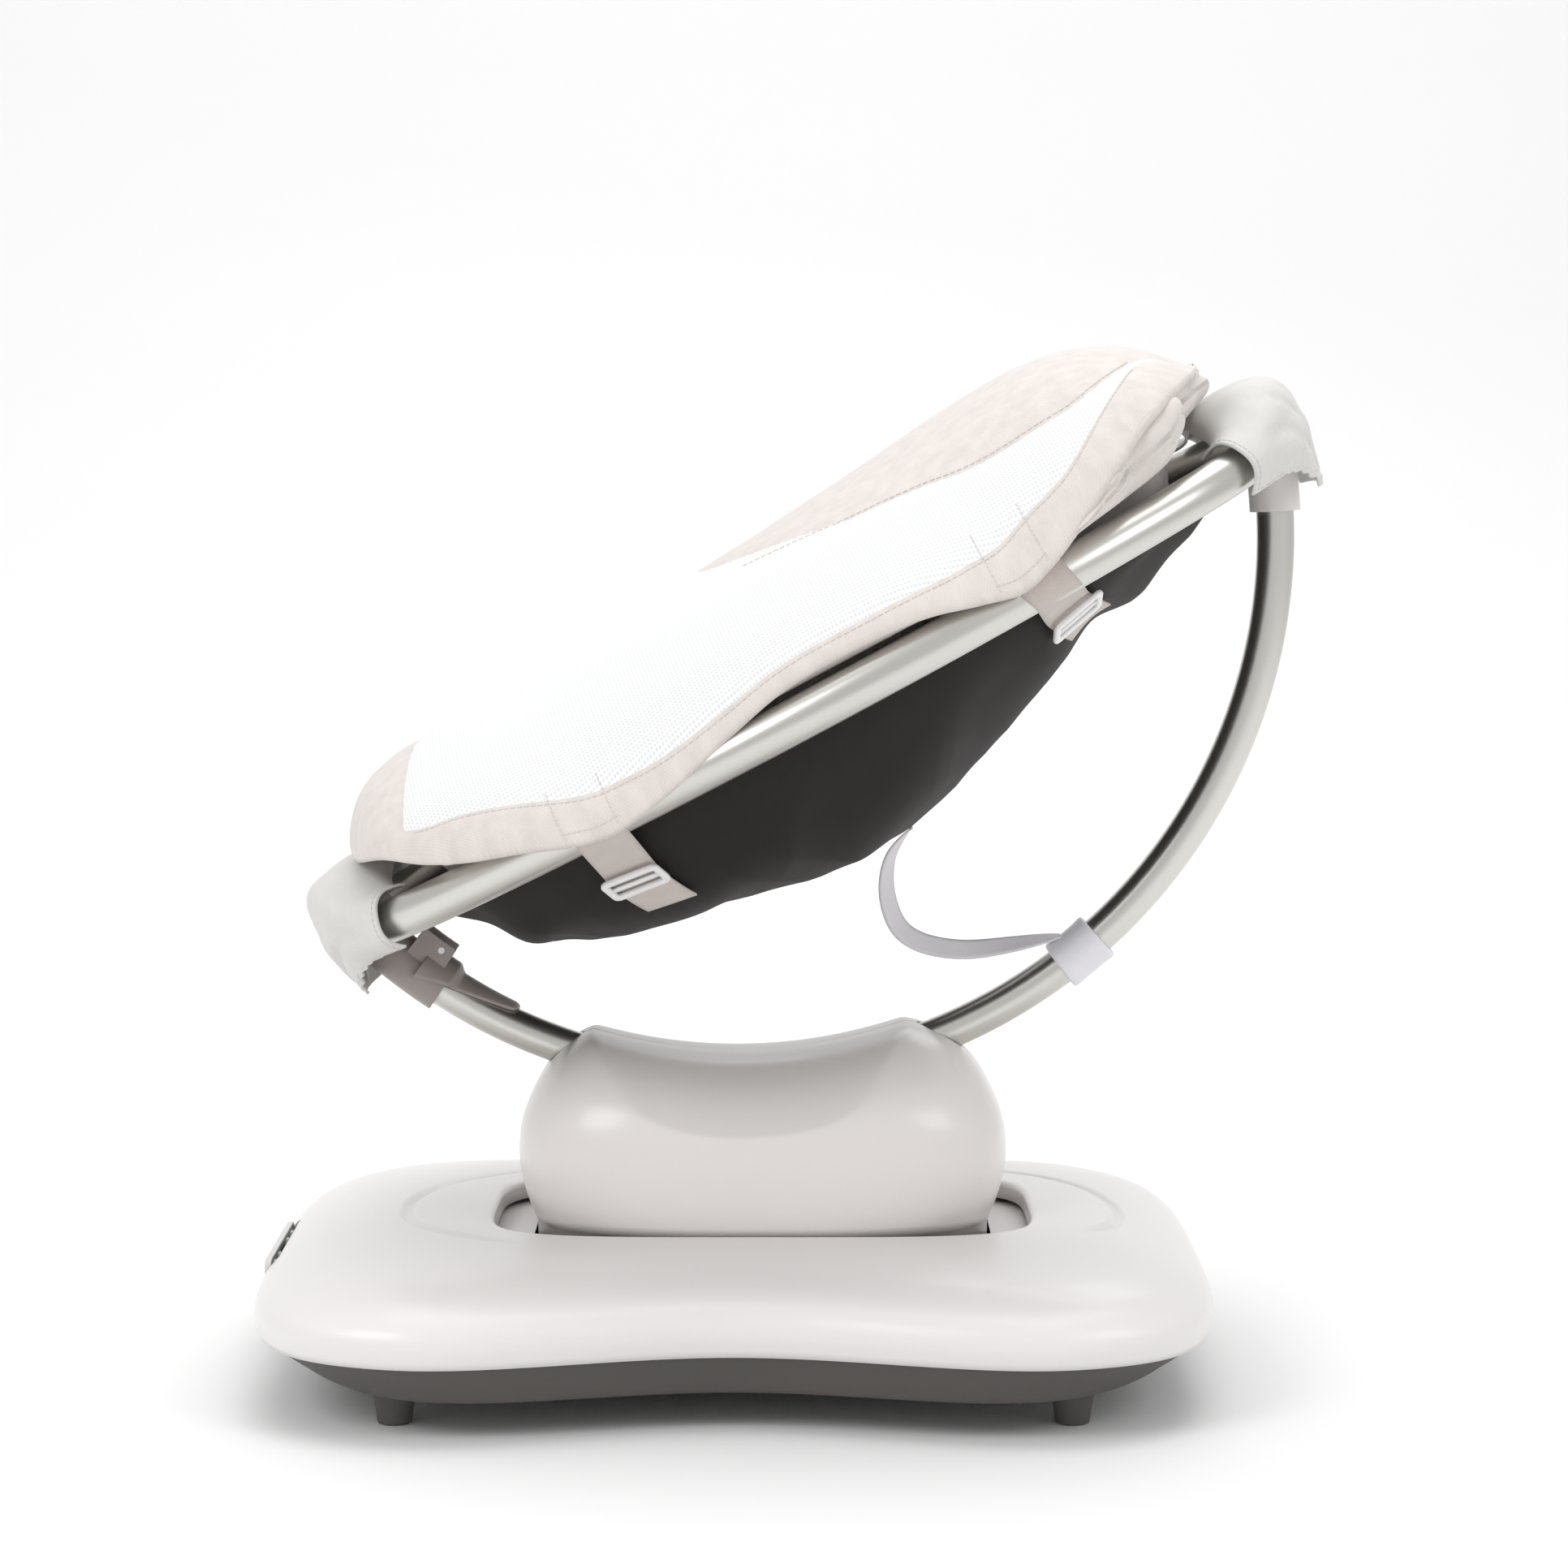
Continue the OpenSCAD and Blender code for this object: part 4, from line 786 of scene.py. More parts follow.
for a, b in zip(order[:-1], order[1:]):
    faces += [(a * around + i, b * around + i, b * around + (i + 1) % around, a * around + (i + 1) % around)
              for i in range(around)]
faces += [((rows - 1) * around + i, (rows - 1) * around + (i + 1) % around, len(verts) - 2)
          for i in range(around)]
faces += [(order[-1] * around + (i + 1) % around, order[-1] * around + i, len(verts) - 1)
          for i in range(around)]
pad_mesh = bpy.data.meshes.new("seat_pad_cushion")
pad_mesh.from_pydata(verts.tolist(), [], faces)
pad = put_in("seat_pad_cushion", pad_mesh)
fields = np.vstack(pad_fields + [[[-1, 1, 0]], [[-1, -1, 1]]])
for label, column in (("rim", 0), ("panel", 1), ("under", 2)):
    pad_mesh.attributes.new(label, "FLOAT", "POINT").data.foreach_set("value", fields[:, column])
flat = np.vstack(pad_uv + [[[0, 0]], [[0, 0]]])
layer = pad_mesh.uv_layers.new(name="cloth")
layer.data.foreach_set("uv", flat[[l.vertex_index for l in pad_mesh.loops]].ravel())
bm = bmesh.new()
bm.from_mesh(pad_mesh)
bmesh.ops.recalc_face_normals(bm, faces=bm.faces)
bm.to_mesh(pad_mesh)
bm.free()
pad_mesh.polygons.foreach_set("use_smooth", [True] * len(pad_mesh.polygons))


def inflate(piece, hold, most, pressure=4.0, frames=20):
    """Blows a closed cloth up against the points that hold it, and lets no point move further than most."""
    group = piece.vertex_groups.new(name="held")
    for level in np.unique(np.round(hold, 1)):
        if level > 0:
            group.add([int(i) for i in np.nonzero(np.round(hold, 1) == level)[0]], float(level), "REPLACE")
    before = np.empty(len(piece.data.vertices) * 3)
    piece.data.vertices.foreach_get("co", before)
    cloth_run = piece.modifiers.new("cloth", "CLOTH")
    settings = cloth_run.settings
    settings.quality = 6
    settings.mass = 0.15
    settings.tension_stiffness = settings.compression_stiffness = 12
    settings.shear_stiffness = 6
    settings.bending_stiffness = 0.6
    settings.use_pressure = True
    settings.uniform_pressure_force = pressure
    settings.vertex_group_mass = "held"
    settings.effector_weights.gravity = 0
    cloth_run.collision_settings.use_collision = False
    cloth_run.point_cache.frame_start, cloth_run.point_cache.frame_end = 1, frames
    scene = bpy.context.scene
    for moment in range(1, frames + 1):
        scene.frame_set(moment)
    shown = piece.evaluated_get(bpy.context.evaluated_depsgraph_get())
    after = np.empty(len(before))
    shown.data.vertices.foreach_get("co", after)
    piece.modifiers.clear()
    piece.vertex_groups.clear()
    scene.frame_set(1)
    move = (after - before).reshape(-1, 3)
    size = np.linalg.norm(move, axis=1, keepdims=True)
    move *= most / np.maximum(size + most, 1e-9)
    piece.data.vertices.foreach_set("co", (before.reshape(-1, 3) + move).ravel())
    piece.data.update()


inflate(pad, np.concatenate(pad_hold + [[0.0, 1.0]]), most=0.007)

# The pad's finish: white spacer mesh, with the beige knit where the seams say
pad_cloth, nodes, links, shader = finish("pad_cloth", (0.88, 0.88, 0.885), 0.75)
flat_uv = nodes.new("ShaderNodeUVMap")
flat_uv.uv_map = "cloth"
knit = nodes.new("ShaderNodeGroup")
knit.node_tree = woven_group
knit.inputs["Threads"].default_value = 620
knit.inputs["Slub"].default_value = 90
links.new(flat_uv.outputs["UV"], knit.inputs["Vector"])
holes = nodes.new("ShaderNodeTexVoronoi")
holes.inputs["Scale"].default_value = 430
holes.inputs["Randomness"].default_value = 0.12
links.new(flat_uv.outputs["UV"], holes.inputs["Vector"])
hole_mask = nodes.new("ShaderNodeMapRange")
hole_mask.inputs["From Min"].default_value = 0.18
hole_mask.inputs["From Max"].default_value = 0.42
links.new(holes.outputs["Distance"], hole_mask.inputs["Value"])
masks = []
for label in ("rim", "panel", "under"):
    field = nodes.new("ShaderNodeAttribute")
    field.attribute_name = label
    edge = nodes.new("ShaderNodeMapRange")
    edge.inputs["From Min"].default_value = -0.0002 if label != "under" else 0.02
    edge.inputs["From Max"].default_value = 0.0002 if label != "under" else 0.08
    links.new(field.outputs["Fac"], edge.inputs["Value"])
    masks.append(edge.outputs["Result"])
tree = pad_cloth.node_tree
beige = sum_node(tree, "MAXIMUM", sum_node(tree, "MAXIMUM", masks[0], masks[1]), masks[2])


def mix(tree, factor, a, b, colour=True):
    """Mixes two colours or two numbers by a mask."""
    node = tree.nodes.new("ShaderNodeMix")
    node.data_type = "RGBA" if colour else "FLOAT"
    tree.links.new(factor, node.inputs["Factor"])
    for socket, value in ((node.inputs["A"] if not colour else node.inputs[6], a),
                          (node.inputs["B"] if not colour else node.inputs[7], b)):
        if hasattr(value, "is_linked"):
            tree.links.new(value, socket)
        else:
            socket.default_value = value
    return node.outputs[2] if colour else node.outputs[0]


white_mesh = mix(tree, hole_mask.outputs["Result"], (0.70, 0.71, 0.72, 1), (0.885, 0.885, 0.89, 1))
beige_knit = mix(tree, knit.outputs["Shade"], (0.60, 0.545, 0.515, 1), (0.80, 0.745, 0.71, 1))
links.new(mix(tree, beige, white_mesh, beige_knit), shader.inputs["Base Color"])
bump = nodes.new("ShaderNodeBump")
bump.inputs["Distance"].default_value = 0.0003
bump.inputs["Strength"].default_value = 0.7
links.new(mix(tree, beige, hole_mask.outputs["Result"], knit.outputs["Height"], colour=False),
          bump.inputs["Height"])
links.new(bump.outputs["Normal"], shader.inputs["Normal"])
shader.inputs["Sheen Weight"].default_value = 0.25
shader.inputs["Sheen Roughness"].default_value = 0.5
pad.data.materials.append(pad_cloth)
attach(pad, "seat")
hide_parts("seat_pad")

# The gathered lower layer of beige knit that shows under the pad's head end
head_t = np.linspace(-1, 1, 150)
arc = run[-1]
roll_rows = []
roll_uv = []
head_sections = 44
for q in head_t:
    place = (q * 0.29) % arc
    k = place / arc * around
    i0 = int(k) % around
    o = outline[i0] * (1 - (k - int(k))) + outline[(i0 + 1) % around] * (k - int(k))
    s, y = o
    inward = -o / np.linalg.norm(o)
    rim = float(smooth_table(pad_rim, np.array(s)))
    low = float(np.interp(
        s, [0.13, 0.16, 0.198, 0.25, 0.262, 0.29], [0.010, 0.0155, 0.0185, 0.023, 0.036, 0.0425]))
    fade = float(ease((1 - abs(q)) / 0.16))
    top = rim + 0.004 * fade
    low = low * fade + (rim - 0.003) * (1 - fade)
    mid, high = (top + low) / 2, (top - low) / 2
    bulge = (0.0045 + 0.0035 * math.sin(q * 23 + 0.6) + 0.002 * math.sin(q * 51)) * fade
    row = []
    for b in np.radians(np.linspace(0, 360, head_sections, endpoint=False)):
        c, d = math.cos(b), math.sin(b)
        out = 0.020 * math.copysign(abs(c) ** 0.8, c) + bulge * max(0, c)
        crease = -0.0030 * math.exp(-((d + 0.25 * math.sin(q * 9)) / 0.16) ** 2) * max(0, c) * fade
        p = o + inward * (0.0245 - out - crease)
        row.append((p[0], p[1], ring_n + mid + high * math.copysign(abs(d) ** 0.8, d)))
    roll_rows.append(in_seat(row))
    roll_uv.append([(q * 0.29, j / head_sections * 0.12) for j in range(head_sections)])
roll_points = np.array(roll_rows)
roll = grid("head_layer", roll_points, np.array(roll_uv), wrap=True)
ends = bmesh.new()
ends.from_mesh(roll.data)
bmesh.ops.holes_fill(ends, edges=[e for e in ends.edges if e.is_boundary], sides=0)
bmesh.ops.recalc_face_normals(ends, faces=ends.faces)
ends.to_mesh(roll.data)
ends.free()
inflate(roll, np.where(np.abs(np.repeat(head_t, head_sections)) > 0.94, 1.0, 0.0), most=0.003, pressure=2.0)
beige_cloth = cloth("beige_knit", (0.78, 0.725, 0.69), 0.8, threads=620, deep=0.0003, shade=0.8)
roll.data.materials.append(beige_cloth)
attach(roll, "seat")

# ---- Stitches
# Short thread stitches, sewn a little into the cloth, in rows along the seams.
thread = cloth("thread", (0.74, 0.70, 0.67), 0.7, threads=2500, deep=0.00005)


def stitch_tree():
    """Geometry nodes that lay stitches of one length and gap along a line."""
    tree = bpy.data.node_groups.new("stitch_row", "GeometryNodeTree")
    tree.interface.new_socket("Geometry", in_out="INPUT", socket_type="NodeSocketGeometry")
    sizes = {}
    for label, value in (("Pitch", 0.0042), ("Length", 0.0029), ("Thickness", 0.00042)):
        socket = tree.interface.new_socket(label, in_out="INPUT", socket_type="NodeSocketFloat")
        socket.default_value = value
        sizes[label] = socket.identifier
    tree.interface.new_socket("Thread", in_out="INPUT", socket_type="NodeSocketMaterial")
    tree.interface.new_socket("Geometry", in_out="OUTPUT", socket_type="NodeSocketGeometry")
    n, l = tree.nodes, tree.links
    start, end = n.new("NodeGroupInput"), n.new("NodeGroupOutput")
    line = n.new("GeometryNodeMeshToCurve")
    even_out = n.new("GeometryNodeResampleCurve")
    even_out.mode = "LENGTH"
    to_points = n.new("GeometryNodeCurveToPoints")
    to_points.mode = "EVALUATED"
    one = n.new("GeometryNodeMeshCylinder")
    one.inputs["Vertices"].default_value = 6
    lay = n.new("GeometryNodeInstanceOnPoints")
    real, paint = n.new("GeometryNodeRealizeInstances"), n.new("GeometryNodeSetMaterial")
    l.new(start.outputs["Geometry"], line.inputs["Mesh"])
    l.new(line.outputs["Curve"], even_out.inputs["Curve"])
    l.new(start.outputs["Pitch"], even_out.inputs["Length"])
    l.new(even_out.outputs["Curve"], to_points.inputs["Curve"])
    l.new(start.outputs["Length"], one.inputs["Depth"])
    l.new(start.outputs["Thickness"], one.inputs["Radius"])
    l.new(to_points.outputs["Points"], lay.inputs["Points"])
    l.new(to_points.outputs["Rotation"], lay.inputs["Rotation"])
    l.new(one.outputs["Mesh"], lay.inputs["Instance"])
    l.new(lay.outputs["Instances"], real.inputs["Geometry"])
    l.new(real.outputs["Geometry"], paint.inputs["Geometry"])
    l.new(start.outputs["Thread"], paint.inputs["Material"])
    l.new(paint.outputs["Geometry"], end.inputs["Geometry"])
    return tree


stitch_row = stitch_tree()


def stitches(name, lines, body, pitch=0.0042, length=0.0029, thick=0.00042, thread_look=thread):
    """Rows of stitches along lines of points, as one plain mesh on a body."""
    mesh = bpy.data.meshes.new(name)
    points, edges = [], []
    for line in lines:
        edges += [(len(points) + i, len(points) + i + 1) for i in range(len(line) - 1)]
        points += [tuple(p) for p in line]
    mesh.from_pydata(points, edges, [])
    row = put_in(name, mesh)
    sew = row.modifiers.new("stitches", "NODES")
    sew.node_group = stitch_row
    by_name = {i.name: i.identifier for i in stitch_row.interface.items_tree if i.in_out == "INPUT"}
    sew[by_name["Pitch"]], sew[by_name["Length"]], sew[by_name["Thickness"]] = pitch, length, thick
    sew[by_name["Thread"]] = thread_look
    settle(row)
    row.data.uv_layers.new(name="cloth")
    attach(row, body)
    return row


def onto(piece, lines, lift=0.0002):
    """Lines of points moved onto a piece's surface."""
    tree = BVHTree.FromPolygons(
        [v.co.copy() for v in piece.data.vertices], [p.vertices[:] for p in piece.data.polygons])
    moved = []
    for line in lines:
        found = []
        for p in line:
            near, normal, _, _ = tree.find_nearest(Vector(p))
            found.append(near + normal * lift)
        moved.append(found)
    return moved


seam_lines = []
for side in (-1, 1):
    s = np.linspace(-0.238, 0.255, 160)
    for table, low, high, step in ((rim_seam, -0.238, 0.250, 0.0028), (panel_seam, 0.0, 0.250, 0.0028)):
        t = s[(s > low) & (s < high)]
        v = table_at(table, t) + (step / pad_width(t)) * (1 if table is rim_seam else -1)
        seam_lines.append(in_seat(np.column_stack([t, side * v * pad_width(t), ring_n + pad_height(t, v)])))
stitches("pad_seams", onto(pad, seam_lines), "seat")

# ---- Straps and buckles
# Four flat webbing straps, sewn to the pad's rim. Each goes over the tube and down the outside of the
# sling, through a flat white buckle with one bar.
webbing = cloth("beige_webbing", (0.66, 0.585, 0.54), 0.75, threads=900, deep=0.0004, shade=0.8)
buckle_white = moulded("buckle_white", (0.83, 0.82, 0.82), 0.28, coat=0.2)


def sling_outside(s, v):
    return (float(v * ring_inside(s, ring_r + sling_room)),
            float(ring_n - 0.003 - smooth_table(sling_points, s) * max(0, 1 - abs(v) ** 2.6) ** 0.8))


def strap_course(s_top, s_buckle, s_end, offset):
    """The middle line of a strap, for one place across its width."""
    line = []
    steps = [("tube", a) for a in range(118, -66, -8)] + [("sling", v) for v in np.arange(0.915, 0.655, -0.01)]
    for i, (kind, value) in enumerate(steps):
        share = i / (len(steps) - 1)
        s = (s_top + (s_buckle - s_top) * min(1, share / 0.62)
             + (s_end - s_buckle) * max(0, (share - 0.62) / 0.38) + offset)
        if kind == "tube":
            slope = math.sqrt(1 - (s / ring_side_r) ** 2)
            r = ring_r + 0.0012
            line.append((s, float(ring_w(s)) + r * math.cos(math.radians(value)) / slope,
                         ring_n + r * math.sin(math.radians(value))))
        else:
            y, n = sling_outside(s, value)
            line.append((s, y + 0.0012, n - 0.0030))
    line = np.array(line)
    for _ in range(5):
        line[1:-1] = line[1:-1] * 0.5 + (line[:-2] + line[2:]) * 0.25
    return line


def unit(a):
    return a / np.linalg.norm(a)


strap_half, buckle_l, buckle_h, buckle_corner = 0.015, 0.0188, 0.0108, 0.0045
strap_runs = {"foot": (-0.142, -0.1375, -0.128), "head": (0.139, 0.154, 0.161)}
for end, (s_top, s_buckle, s_end) in strap_runs.items():
    for side, name in ((-1, "near"), (1, "far")):
        columns = [strap_course(s_top, s_buckle, s_end, o) for o in np.linspace(-strap_half, strap_half, 9)]
        table = np.array(columns).transpose(1, 0, 2)
        table[:, :, 1] *= side
        count = len(table)
        run_on = np.concatenate([[0], np.cumsum(np.linalg.norm(np.diff(table[:, 4], axis=0), axis=1))])
        uv = np.dstack([np.tile(np.linspace(-strap_half, strap_half, 9), (count, 1)), np.tile(run_on[:, None], (1, 9))])
        strap = grid(f"{end}_strap_{name}", in_seat(table.reshape(-1, 3)).reshape(count, 9, 3), uv)
        outward(strap)
        thicken(strap, 0.0014, 0)
        strap.data.materials.append(webbing)
        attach(strap, "seat")
        if side == -1:
            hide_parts(f"{end}_straps")

        # The buckle: a rounded frame with a middle bar, laid on the strap
        k = int(count * 0.60)
        middle = (table[k, 0] + table[k, -1]) / 2
        wide = unit(table[k, -1] - table[k, 0])
        down = unit(table[k + 6, 4] - table[k - 6, 4])
        out = unit(np.cross(down, wide) * side)
        out = out if out[1] * side > 0 else -out
        down = unit(np.cross(out, wide))
        rings = []
        for b in np.radians(np.linspace(0, 360, 14, endpoint=False)):
            inset = 0.0022 * (1 - math.copysign(abs(math.cos(b)) ** 0.7, math.cos(b)))
            lift = 0.0017 * math.copysign(abs(math.sin(b)) ** 0.7, math.sin(b))
            shape = rounded_outline(buckle_l - inset, buckle_h - inset, max(0.0008, buckle_corner - inset), 9)
            rings.append([middle + out * (0.0036 + lift) + wide * x + down * y for x, y in shape])
        rings = [in_seat(r) for r in rings]
        buckle = skin(f"{end}_buckle_{name}", rings, closed=True)
        bar_rings = [[middle + out * (0.0036 + 0.0012 * math.sin(b)) + down * 0.0019 * math.cos(b) + wide * x
                      for b in np.radians(np.linspace(0, 360, 12, endpoint=False))]
                     for x in (-0.0165, -0.008, 0.008, 0.0165)]
        bar = skin("bar", [in_seat(r) for r in bar_rings], caps=(True, True))
        both_parts = bmesh.new()
        both_parts.from_mesh(buckle.data)
        both_parts.from_mesh(bar.data)
        bmesh.ops.recalc_face_normals(both_parts, faces=both_parts.faces)
        both_parts.to_mesh(buckle.data)
        both_parts.free()
        bpy.data.objects.remove(bar)
        buckle.data.materials.append(buckle_white)
        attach(buckle, "seat")
        if (end, side) == ("foot", -1):
            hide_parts("strap_buckles")

# Stitched tabs where the straps join the pad's rim
tab_lines = []
for side in (-1, 1):
    for s_mid in (-0.141, 0.137):
        for offset in (-0.0155, 0.0155):
            v = np.linspace(0.90 if s_mid < 0 else 0.88, 0.997, 14)
            s = np.full(14, s_mid + offset)
            tab_lines.append(in_seat(np.column_stack([s, side * v * pad_width(s), ring_n + pad_height(s, v)])))
        s = np.linspace(s_mid - 0.0155, s_mid + 0.0155, 14)
        for share in (0.992,):
            v = np.full(14, share)
            tab_lines.append(in_seat(np.column_stack([s, side * v * pad_width(s), ring_n + pad_height(s, v)])))
stitches("strap_tab_seams", onto(pad, tab_lines), "seat", pitch=0.0032, length=0.0022, thick=0.00036)

# ---- Hoods
# A fitted jersey cover over each end of the ring, sewn to a point below. It hides the hub.
hood_cloth = cloth("grey_jersey", (0.715, 0.705, 0.68), 0.85, threads=950, deep=0.00022, shade=0.88)
hood_line = cut_corners([
    (0.272, 0.027), (0.2755, 0.0345), (0.284, 0.0372), (0.300, 0.0385), (0.320, 0.0372), (0.331, 0.029),
    (0.3352, 0.006), (0.330, -0.020), (0.3215, -0.0475)], 3)
hood_rows, hood_cols = 120, 110
hood_reach = math.radians(41)
hug_angles = np.linspace(math.radians(128), math.radians(-62), 200)
hug_line = np.column_stack([0.0185 * np.cos(hug_angles), 0.0185 * np.sin(hug_angles)])


def even_points(line, count):
    """A line of points set out again at even steps."""
    steps = np.concatenate([[0], np.cumsum(np.linalg.norm(np.diff(line, axis=0), axis=1))])
    at = np.linspace(0, steps[-1], count)
    return np.column_stack([np.interp(at, steps, line[:, k]) for k in (0, 1)]), steps[-1]


for end, sign in (("foot", -1), ("head", 1)):
    points, uv = [], []
    for i, b in enumerate(np.linspace(-1, 1, hood_rows)):
        side_share = abs(b)
        middle = np.column_stack([hood_line[:, 0] - ring_end_s - ring_end_r, hood_line[:, 1]])
        hem = -0.0475 + 0.0335 * ease(side_share / 0.9)
        middle = middle[(middle[:, 1] > hem) | (middle[:, 0] < 0)]
        middle, middle_run = even_points(middle, hood_cols)
        close, close_run = even_points(hug_line[(hug_line[:, 1] > -0.0165) | (hug_line[:, 0] < 0)], hood_cols)
        share = ease((side_share - 0.30) / 0.66)
        p = middle * (1 - share) + close * share
        reach_down = middle_run * (1 - share) + close_run * share
        d = np.hypot(p[:, 0], p[:, 1])
        p *= np.maximum(1, (ring_r + 0.0042) / np.maximum(d, 1e-6))[:, None]
        r, h = ring_end_r + p[:, 0], p[:, 1]
        q = np.linspace(0, reach_down, hood_cols)
        u = q / reach_down
        angle = b * hood_reach
        # Creases that run together towards the pointed corner below
        far = np.hypot(1.0 - u, b * 0.9)
        fan = np.arctan2(b * 0.9, 1.02 - u)
        crease = sum(a * np.exp(-((fan - c) / w) ** 2) for c, w, a in
                     ((-1.05, 0.09, 1.0), (-0.72, 0.07, 0.7), (-0.36, 0.06, 0.9), (0.05, 0.05, 0.6),
                      (0.42, 0.07, 0.9), (0.80, 0.08, 0.7), (1.12, 0.09, 1.0)))
        sag = np.exp(-((u - 0.62 - 0.10 * side_share) / 0.05) ** 2) * ease((0.8 - side_share) / 0.3)
        lift = (-0.0017 * crease * ease(far / 0.14) * ease((1.05 - far) / 0.5) - 0.0010 * sag
                + 0.0005 * np.sin(u * 15 + b * 9) * ease(far / 0.2))
        nr, nh = np.gradient(h), -np.gradient(r)
        size = np.hypot(nr, nh) + 1e-9
        r, h = r - nr / size * lift, h - nh / size * lift
        s = (ring_end_s + r * math.cos(angle)) * sign
        points.append(in_seat(np.column_stack([s, r * math.sin(angle) * sign, ring_n + h])))
        uv.append(np.column_stack([np.full(hood_cols, angle * 0.17), q]))
    hood_points = np.array(points)
    hood = grid(f"{end}_hood_cloth", hood_points, np.array(uv))
    outward(hood)
    thicken(hood, 0.0016, 0)
    hood.data.materials.append(hood_cloth)
    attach(hood, "seat")
    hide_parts(f"{end}_hood")
    hem_lines = [hood_points[4:-4, -4], hood_points[2, 6:-6], hood_points[-3, 6:-6]]
    stitches(f"{end}_hood_seams", onto(hood, hem_lines), "seat", pitch=0.0034, length=0.0024, thick=0.0003)

# ---- Tether
# A white webbing strap from the sling's underside to the ring on the curved tube. It hangs slack.
tether_line = cut_corners([(12, -202.5), (2, -206), (-10, -213), (-21, -230), (-25, -251), (-19, -265), (-6, -277),
                           (9, -286), (28, -293), (46, -299), (60, -303.5)], 3) / 1000
run_on = np.concatenate([[0], np.cumsum(np.linalg.norm(np.diff(tether_line, axis=0), axis=1))])
across_line = np.linspace(-0.0065, 0.0065, 7)
tether_way = np.gradient(tether_line, axis=0)
tether_way /= np.linalg.norm(tether_way, axis=1)[:, None]
twist = np.radians(58) * np.sin(np.pi * np.clip(run_on / run_on[-1], 0, 1)) ** 0.8
tether_points = np.array([in_seat([(s - way[1] * y * math.sin(t), y * math.cos(t), n + way[0] * y * math.sin(t))
                                   for y in across_line]) for (s, n), way, t in zip(tether_line, tether_way, twist)])
tether = grid("tether_webbing", tether_points, np.dstack([
    np.tile(across_line, (len(run_on), 1)), np.tile(run_on[:, None], (1, 7))]))
outward(tether)
thicken(tether, 0.0013, 0)
tether.data.materials.append(cloth("white_webbing", (0.82, 0.80, 0.83), 0.7, threads=900, deep=0.0003, shade=0.88))
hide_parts("tether_strap")
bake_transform(tether)

# ---- Controls
# A pale panel let into the cover's foot end, with four domed buttons and a smoked window.
panel_grey = moulded("panel_grey", (0.70, 0.68, 0.67), 0.38, coat=0.2)
panel_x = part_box("control_fascia")[0][0]
plate_l, plate_h, plate_corner = 0.0597, 0.0097, 0.0058
panel_rings = []
for inset, dx in ((0.0004, 0.0040), (0.0, 0.0036), (0.0, 0.0009), (0.0003, 0.0004), (0.0009, 0.0)):
    shape = rounded_outline(plate_l - inset, plate_h - inset, plate_corner - inset, 10)
    panel_rings.append([(panel_x + dx, y, panel_z + z) for y, z in shape])
panel = skin("control_panel", panel_rings, caps=(True, True), smooth=False)
outward(panel)
button_boxes = {n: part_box(n) for n in ("button_power", "button_motion", "button_speed", "button_sound")}
for low, high in button_boxes.values():
    cutter = skin("cutter", [[(x, (low[1] + high[1]) / 2 + 0.0067 * math.cos(a), panel_z + 0.0067 * math.sin(a))
                              for a in np.radians(range(0, 360, 6))]
                             for x in (panel_x - 0.003, panel_x + 0.008)], caps=(True, True))
    outward(cutter)
    carve(panel, cutter)
cutter = skin("cutter", [[(x, y, panel_z + z) for y, z in rounded_outline(0.0108, 0.0058, 0.002, 6)]
                         for x in (panel_x - 0.003, panel_x + 0.008)], caps=(True, True))
outward(cutter)
carve(panel, cutter)
panel.data.materials.clear()
panel.data.materials.append(panel_grey)
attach(panel, "base")
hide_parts("control_fascia")
button_white = moulded("button_white", (0.80, 0.80, 0.80), 0.3, coat=0.3)
for name, (low, high) in button_boxes.items():
    y0 = (low[1] + high[1]) / 2
    rings = []
    for r, dx in cut_corners([
            (0.0004, -0.0011), (0.0030, -0.0010), (0.0050, -0.0004), (0.0062, 0.0006), (0.0064, 0.0018),
            (0.0064, 0.0058)], 2):
        rings.append([(low[0] + 0.0012 + dx, y0 + r * math.cos(a), panel_z + r * math.sin(a))
                      for a in np.radians(range(0, 360, 6))])
    button = skin(name + "_cap", rings, caps=(True, True))
    outward(button)
    button.data.materials.append(button_white)
    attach(button, name)
    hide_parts(name)
smoked = moulded("smoked_window", (0.02, 0.02, 0.022), 0.12, grain_deep=0.00001, coat=0.6)
window_rings = [[(panel_x + dx, y, panel_z + z) for y, z in rounded_outline(0.0106 - i, 0.0056 - i, 0.0019, 6)]
                for i, dx in ((0.0004, 0.0004), (0.0, 0.0008), (0.0, 0.0035))]
window = skin("display_window_pane", window_rings, caps=(True, True), smooth=False)
outward(window)
window.data.materials.append(smoked)
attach(window, "base")
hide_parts("display_window")

# ---- Screws
# Pan-head screws with a six-sided socket: two on each hub, and six under the pan.
steel = moulded("bright_steel", (0.55, 0.55, 0.56), 0.28, grain_size=1400, grain_deep=0.00003)
steel.node_tree.nodes["Principled BSDF"].inputs["Metallic"].default_value = 1.0
screw_tree = bpy.data.node_groups.new("screw_set", "GeometryNodeTree")
screw_tree.interface.new_socket("Geometry", in_out="INPUT", socket_type="NodeSocketGeometry")
screw_sizes = {"Radius": 0.0035, "Height": 0.002, "Socket": 0.0015}
for label, value in screw_sizes.items():
    screw_tree.interface.new_socket(label, in_out="INPUT", socket_type="NodeSocketFloat").default_value = value
screw_tree.interface.new_socket("Metal", in_out="INPUT", socket_type="NodeSocketMaterial")
screw_tree.interface.new_socket("Geometry", in_out="OUTPUT", socket_type="NodeSocketGeometry")
n, l = screw_tree.nodes, screw_tree.links
start, end = n.new("NodeGroupInput"), n.new("NodeGroupOutput")
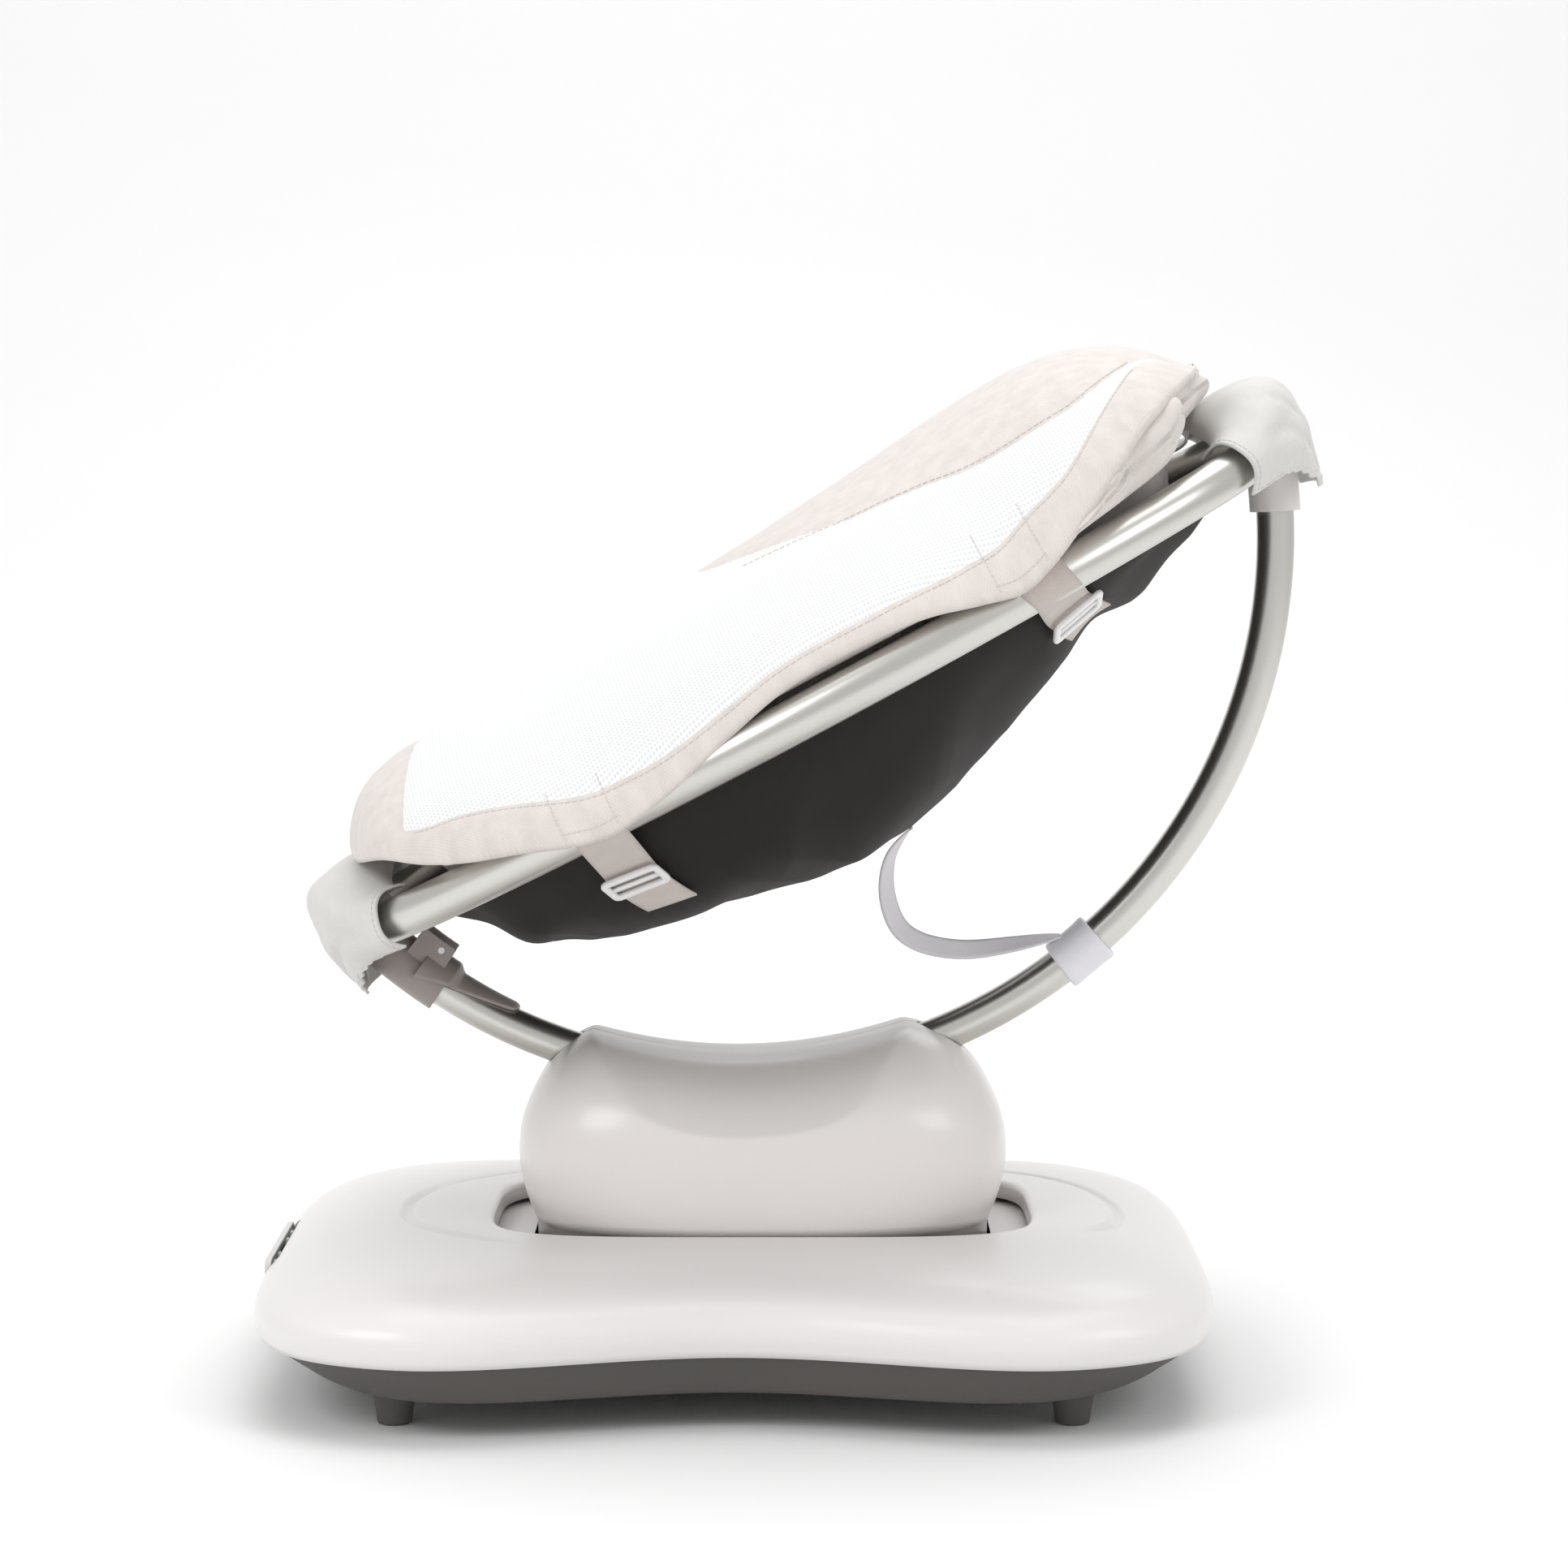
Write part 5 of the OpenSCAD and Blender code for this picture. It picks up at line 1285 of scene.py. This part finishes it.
head, hexagon, cut = (
    n.new("GeometryNodeMeshCylinder"), n.new("GeometryNodeMeshCylinder"), n.new("GeometryNodeMeshBoolean"))
head.inputs["Vertices"].default_value = 32
hexagon.inputs["Vertices"].default_value = 6
hexagon.inputs["Depth"].default_value = 0.0024
shift = n.new("GeometryNodeTransform")
shift.inputs["Translation"].default_value = (0, 0, 0.0011)
cut.operation = "DIFFERENCE"
normal = n.new("GeometryNodeInputNormal")
turn = n.new("FunctionNodeAlignEulerToVector")
turn.axis = "Z"
lay, real, paint = (
    n.new("GeometryNodeInstanceOnPoints"), n.new("GeometryNodeRealizeInstances"), n.new("GeometryNodeSetMaterial"))
l.new(start.outputs["Radius"], head.inputs["Radius"])
l.new(start.outputs["Height"], head.inputs["Depth"])
l.new(start.outputs["Socket"], hexagon.inputs["Radius"])
l.new(hexagon.outputs["Mesh"], shift.inputs["Geometry"])
l.new(head.outputs["Mesh"], cut.inputs["Mesh 1"])
l.new(shift.outputs["Geometry"], cut.inputs["Mesh 2"])
l.new(start.outputs["Geometry"], lay.inputs["Points"])
l.new(normal.outputs["Normal"], turn.inputs["Vector"])
l.new(turn.outputs["Rotation"], lay.inputs["Rotation"])
l.new(cut.outputs["Mesh"], lay.inputs["Instance"])
l.new(lay.outputs["Instances"], real.inputs["Geometry"])
l.new(real.outputs["Geometry"], paint.inputs["Geometry"])
l.new(start.outputs["Metal"], paint.inputs["Material"])
l.new(paint.outputs["Geometry"], end.inputs["Geometry"])


def screws(name, places, up, body, node, radius, height):
    """Screw heads at places, all facing up, as one plain mesh that replaces a node."""
    mesh = bpy.data.meshes.new(name)
    up = Vector(up).normalized()
    side = up.orthogonal().normalized() * 1e-5
    other = up.cross(side)
    points, faces = [], []
    for p in places:
        faces.append((len(points), len(points) + 1, len(points) + 2))
        points += [tuple(Vector(p) + v) for v in (side, other, -side - other)]
    mesh.from_pydata(points, [], faces)
    piece = put_in(name, mesh)
    to_centres = bmesh.new()
    to_centres.from_mesh(mesh)
    bmesh.ops.delete(to_centres, geom=[v for v in to_centres.verts if v.index % 3], context="VERTS")
    to_centres.verts.ensure_lookup_table()
    for v in to_centres.verts:
        v.normal = up
    to_centres.to_mesh(mesh)
    to_centres.free()
    work = piece.modifiers.new("screws", "NODES")
    work.node_group = screw_tree
    by_name = {i.name: i.identifier for i in screw_tree.interface.items_tree if i.in_out == "INPUT"}
    work[by_name["Radius"]], work[by_name["Height"]], work[by_name["Metal"]] = radius, height, steel
    settle(piece)
    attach(piece, body)
    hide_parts(node)


seat_up = Vector(in_seat([(0, 0, 1)])[0]) - Vector(in_seat([(0, 0, 0)])[0])
hub_tops = [in_seat([(sign * (ring_half_l - 0.0025), y, ring_n + ring_r + 0.004 + 0.0002)])[0]
            for sign in (-1, 1) for y in (-0.026, 0.026)]
screws("hub_screw_heads", hub_tops, seat_up, "seat", "hub_screws", 0.0035, 0.002)
screw_low, screw_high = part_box("cover_screws")
pan_places = [(x, y, screw_low[2] + 0.0013) for x in np.linspace(screw_low[0] + 0.004, screw_high[0] - 0.004, 3)
              for y in (screw_low[1] + 0.004, screw_high[1] - 0.004)]
screws("pan_screw_heads", pan_places, (0, 0, -1), "base", "cover_screws", 0.004, 0.0026)

# ---- Drive and inner parts
# Rails, motors, screw, rollers and boards inside the base and tower keep their shapes, each in its own
# finish.
bronze = moulded("bearing_bronze", (0.58, 0.40, 0.19), 0.42, grain_size=2200, grain_deep=0.00005)
bronze.node_tree.nodes["Principled BSDF"].inputs["Metallic"].default_value = 1.0
zinc = moulded("motor_zinc", (0.40, 0.40, 0.41), 0.38, grain_size=500)
zinc.node_tree.nodes["Principled BSDF"].inputs["Metallic"].default_value = 0.8
inner_looks = {
    "bright_steel": steel, "bearing_bronze": bronze, "motor_metal": zinc,
    "inner_plastic": moulded("inner_grey", (0.33, 0.33, 0.34), 0.5),
    "roller_plastic": moulded("roller_black", (0.05, 0.05, 0.05), 0.45),
    "board_resin": moulded("board_green", (0.035, 0.15, 0.065), 0.35, grain_size=300, shade=0.7, coat=0.3),
    "trim_plastic": buckle_white}
for part in frame["record"]["subparts"]:
    node = frame["nodes"][part["node"]]
    look = inner_looks.get(part["material_slot"])
    if look and len(node.data.materials):
        node.data.materials[0] = look
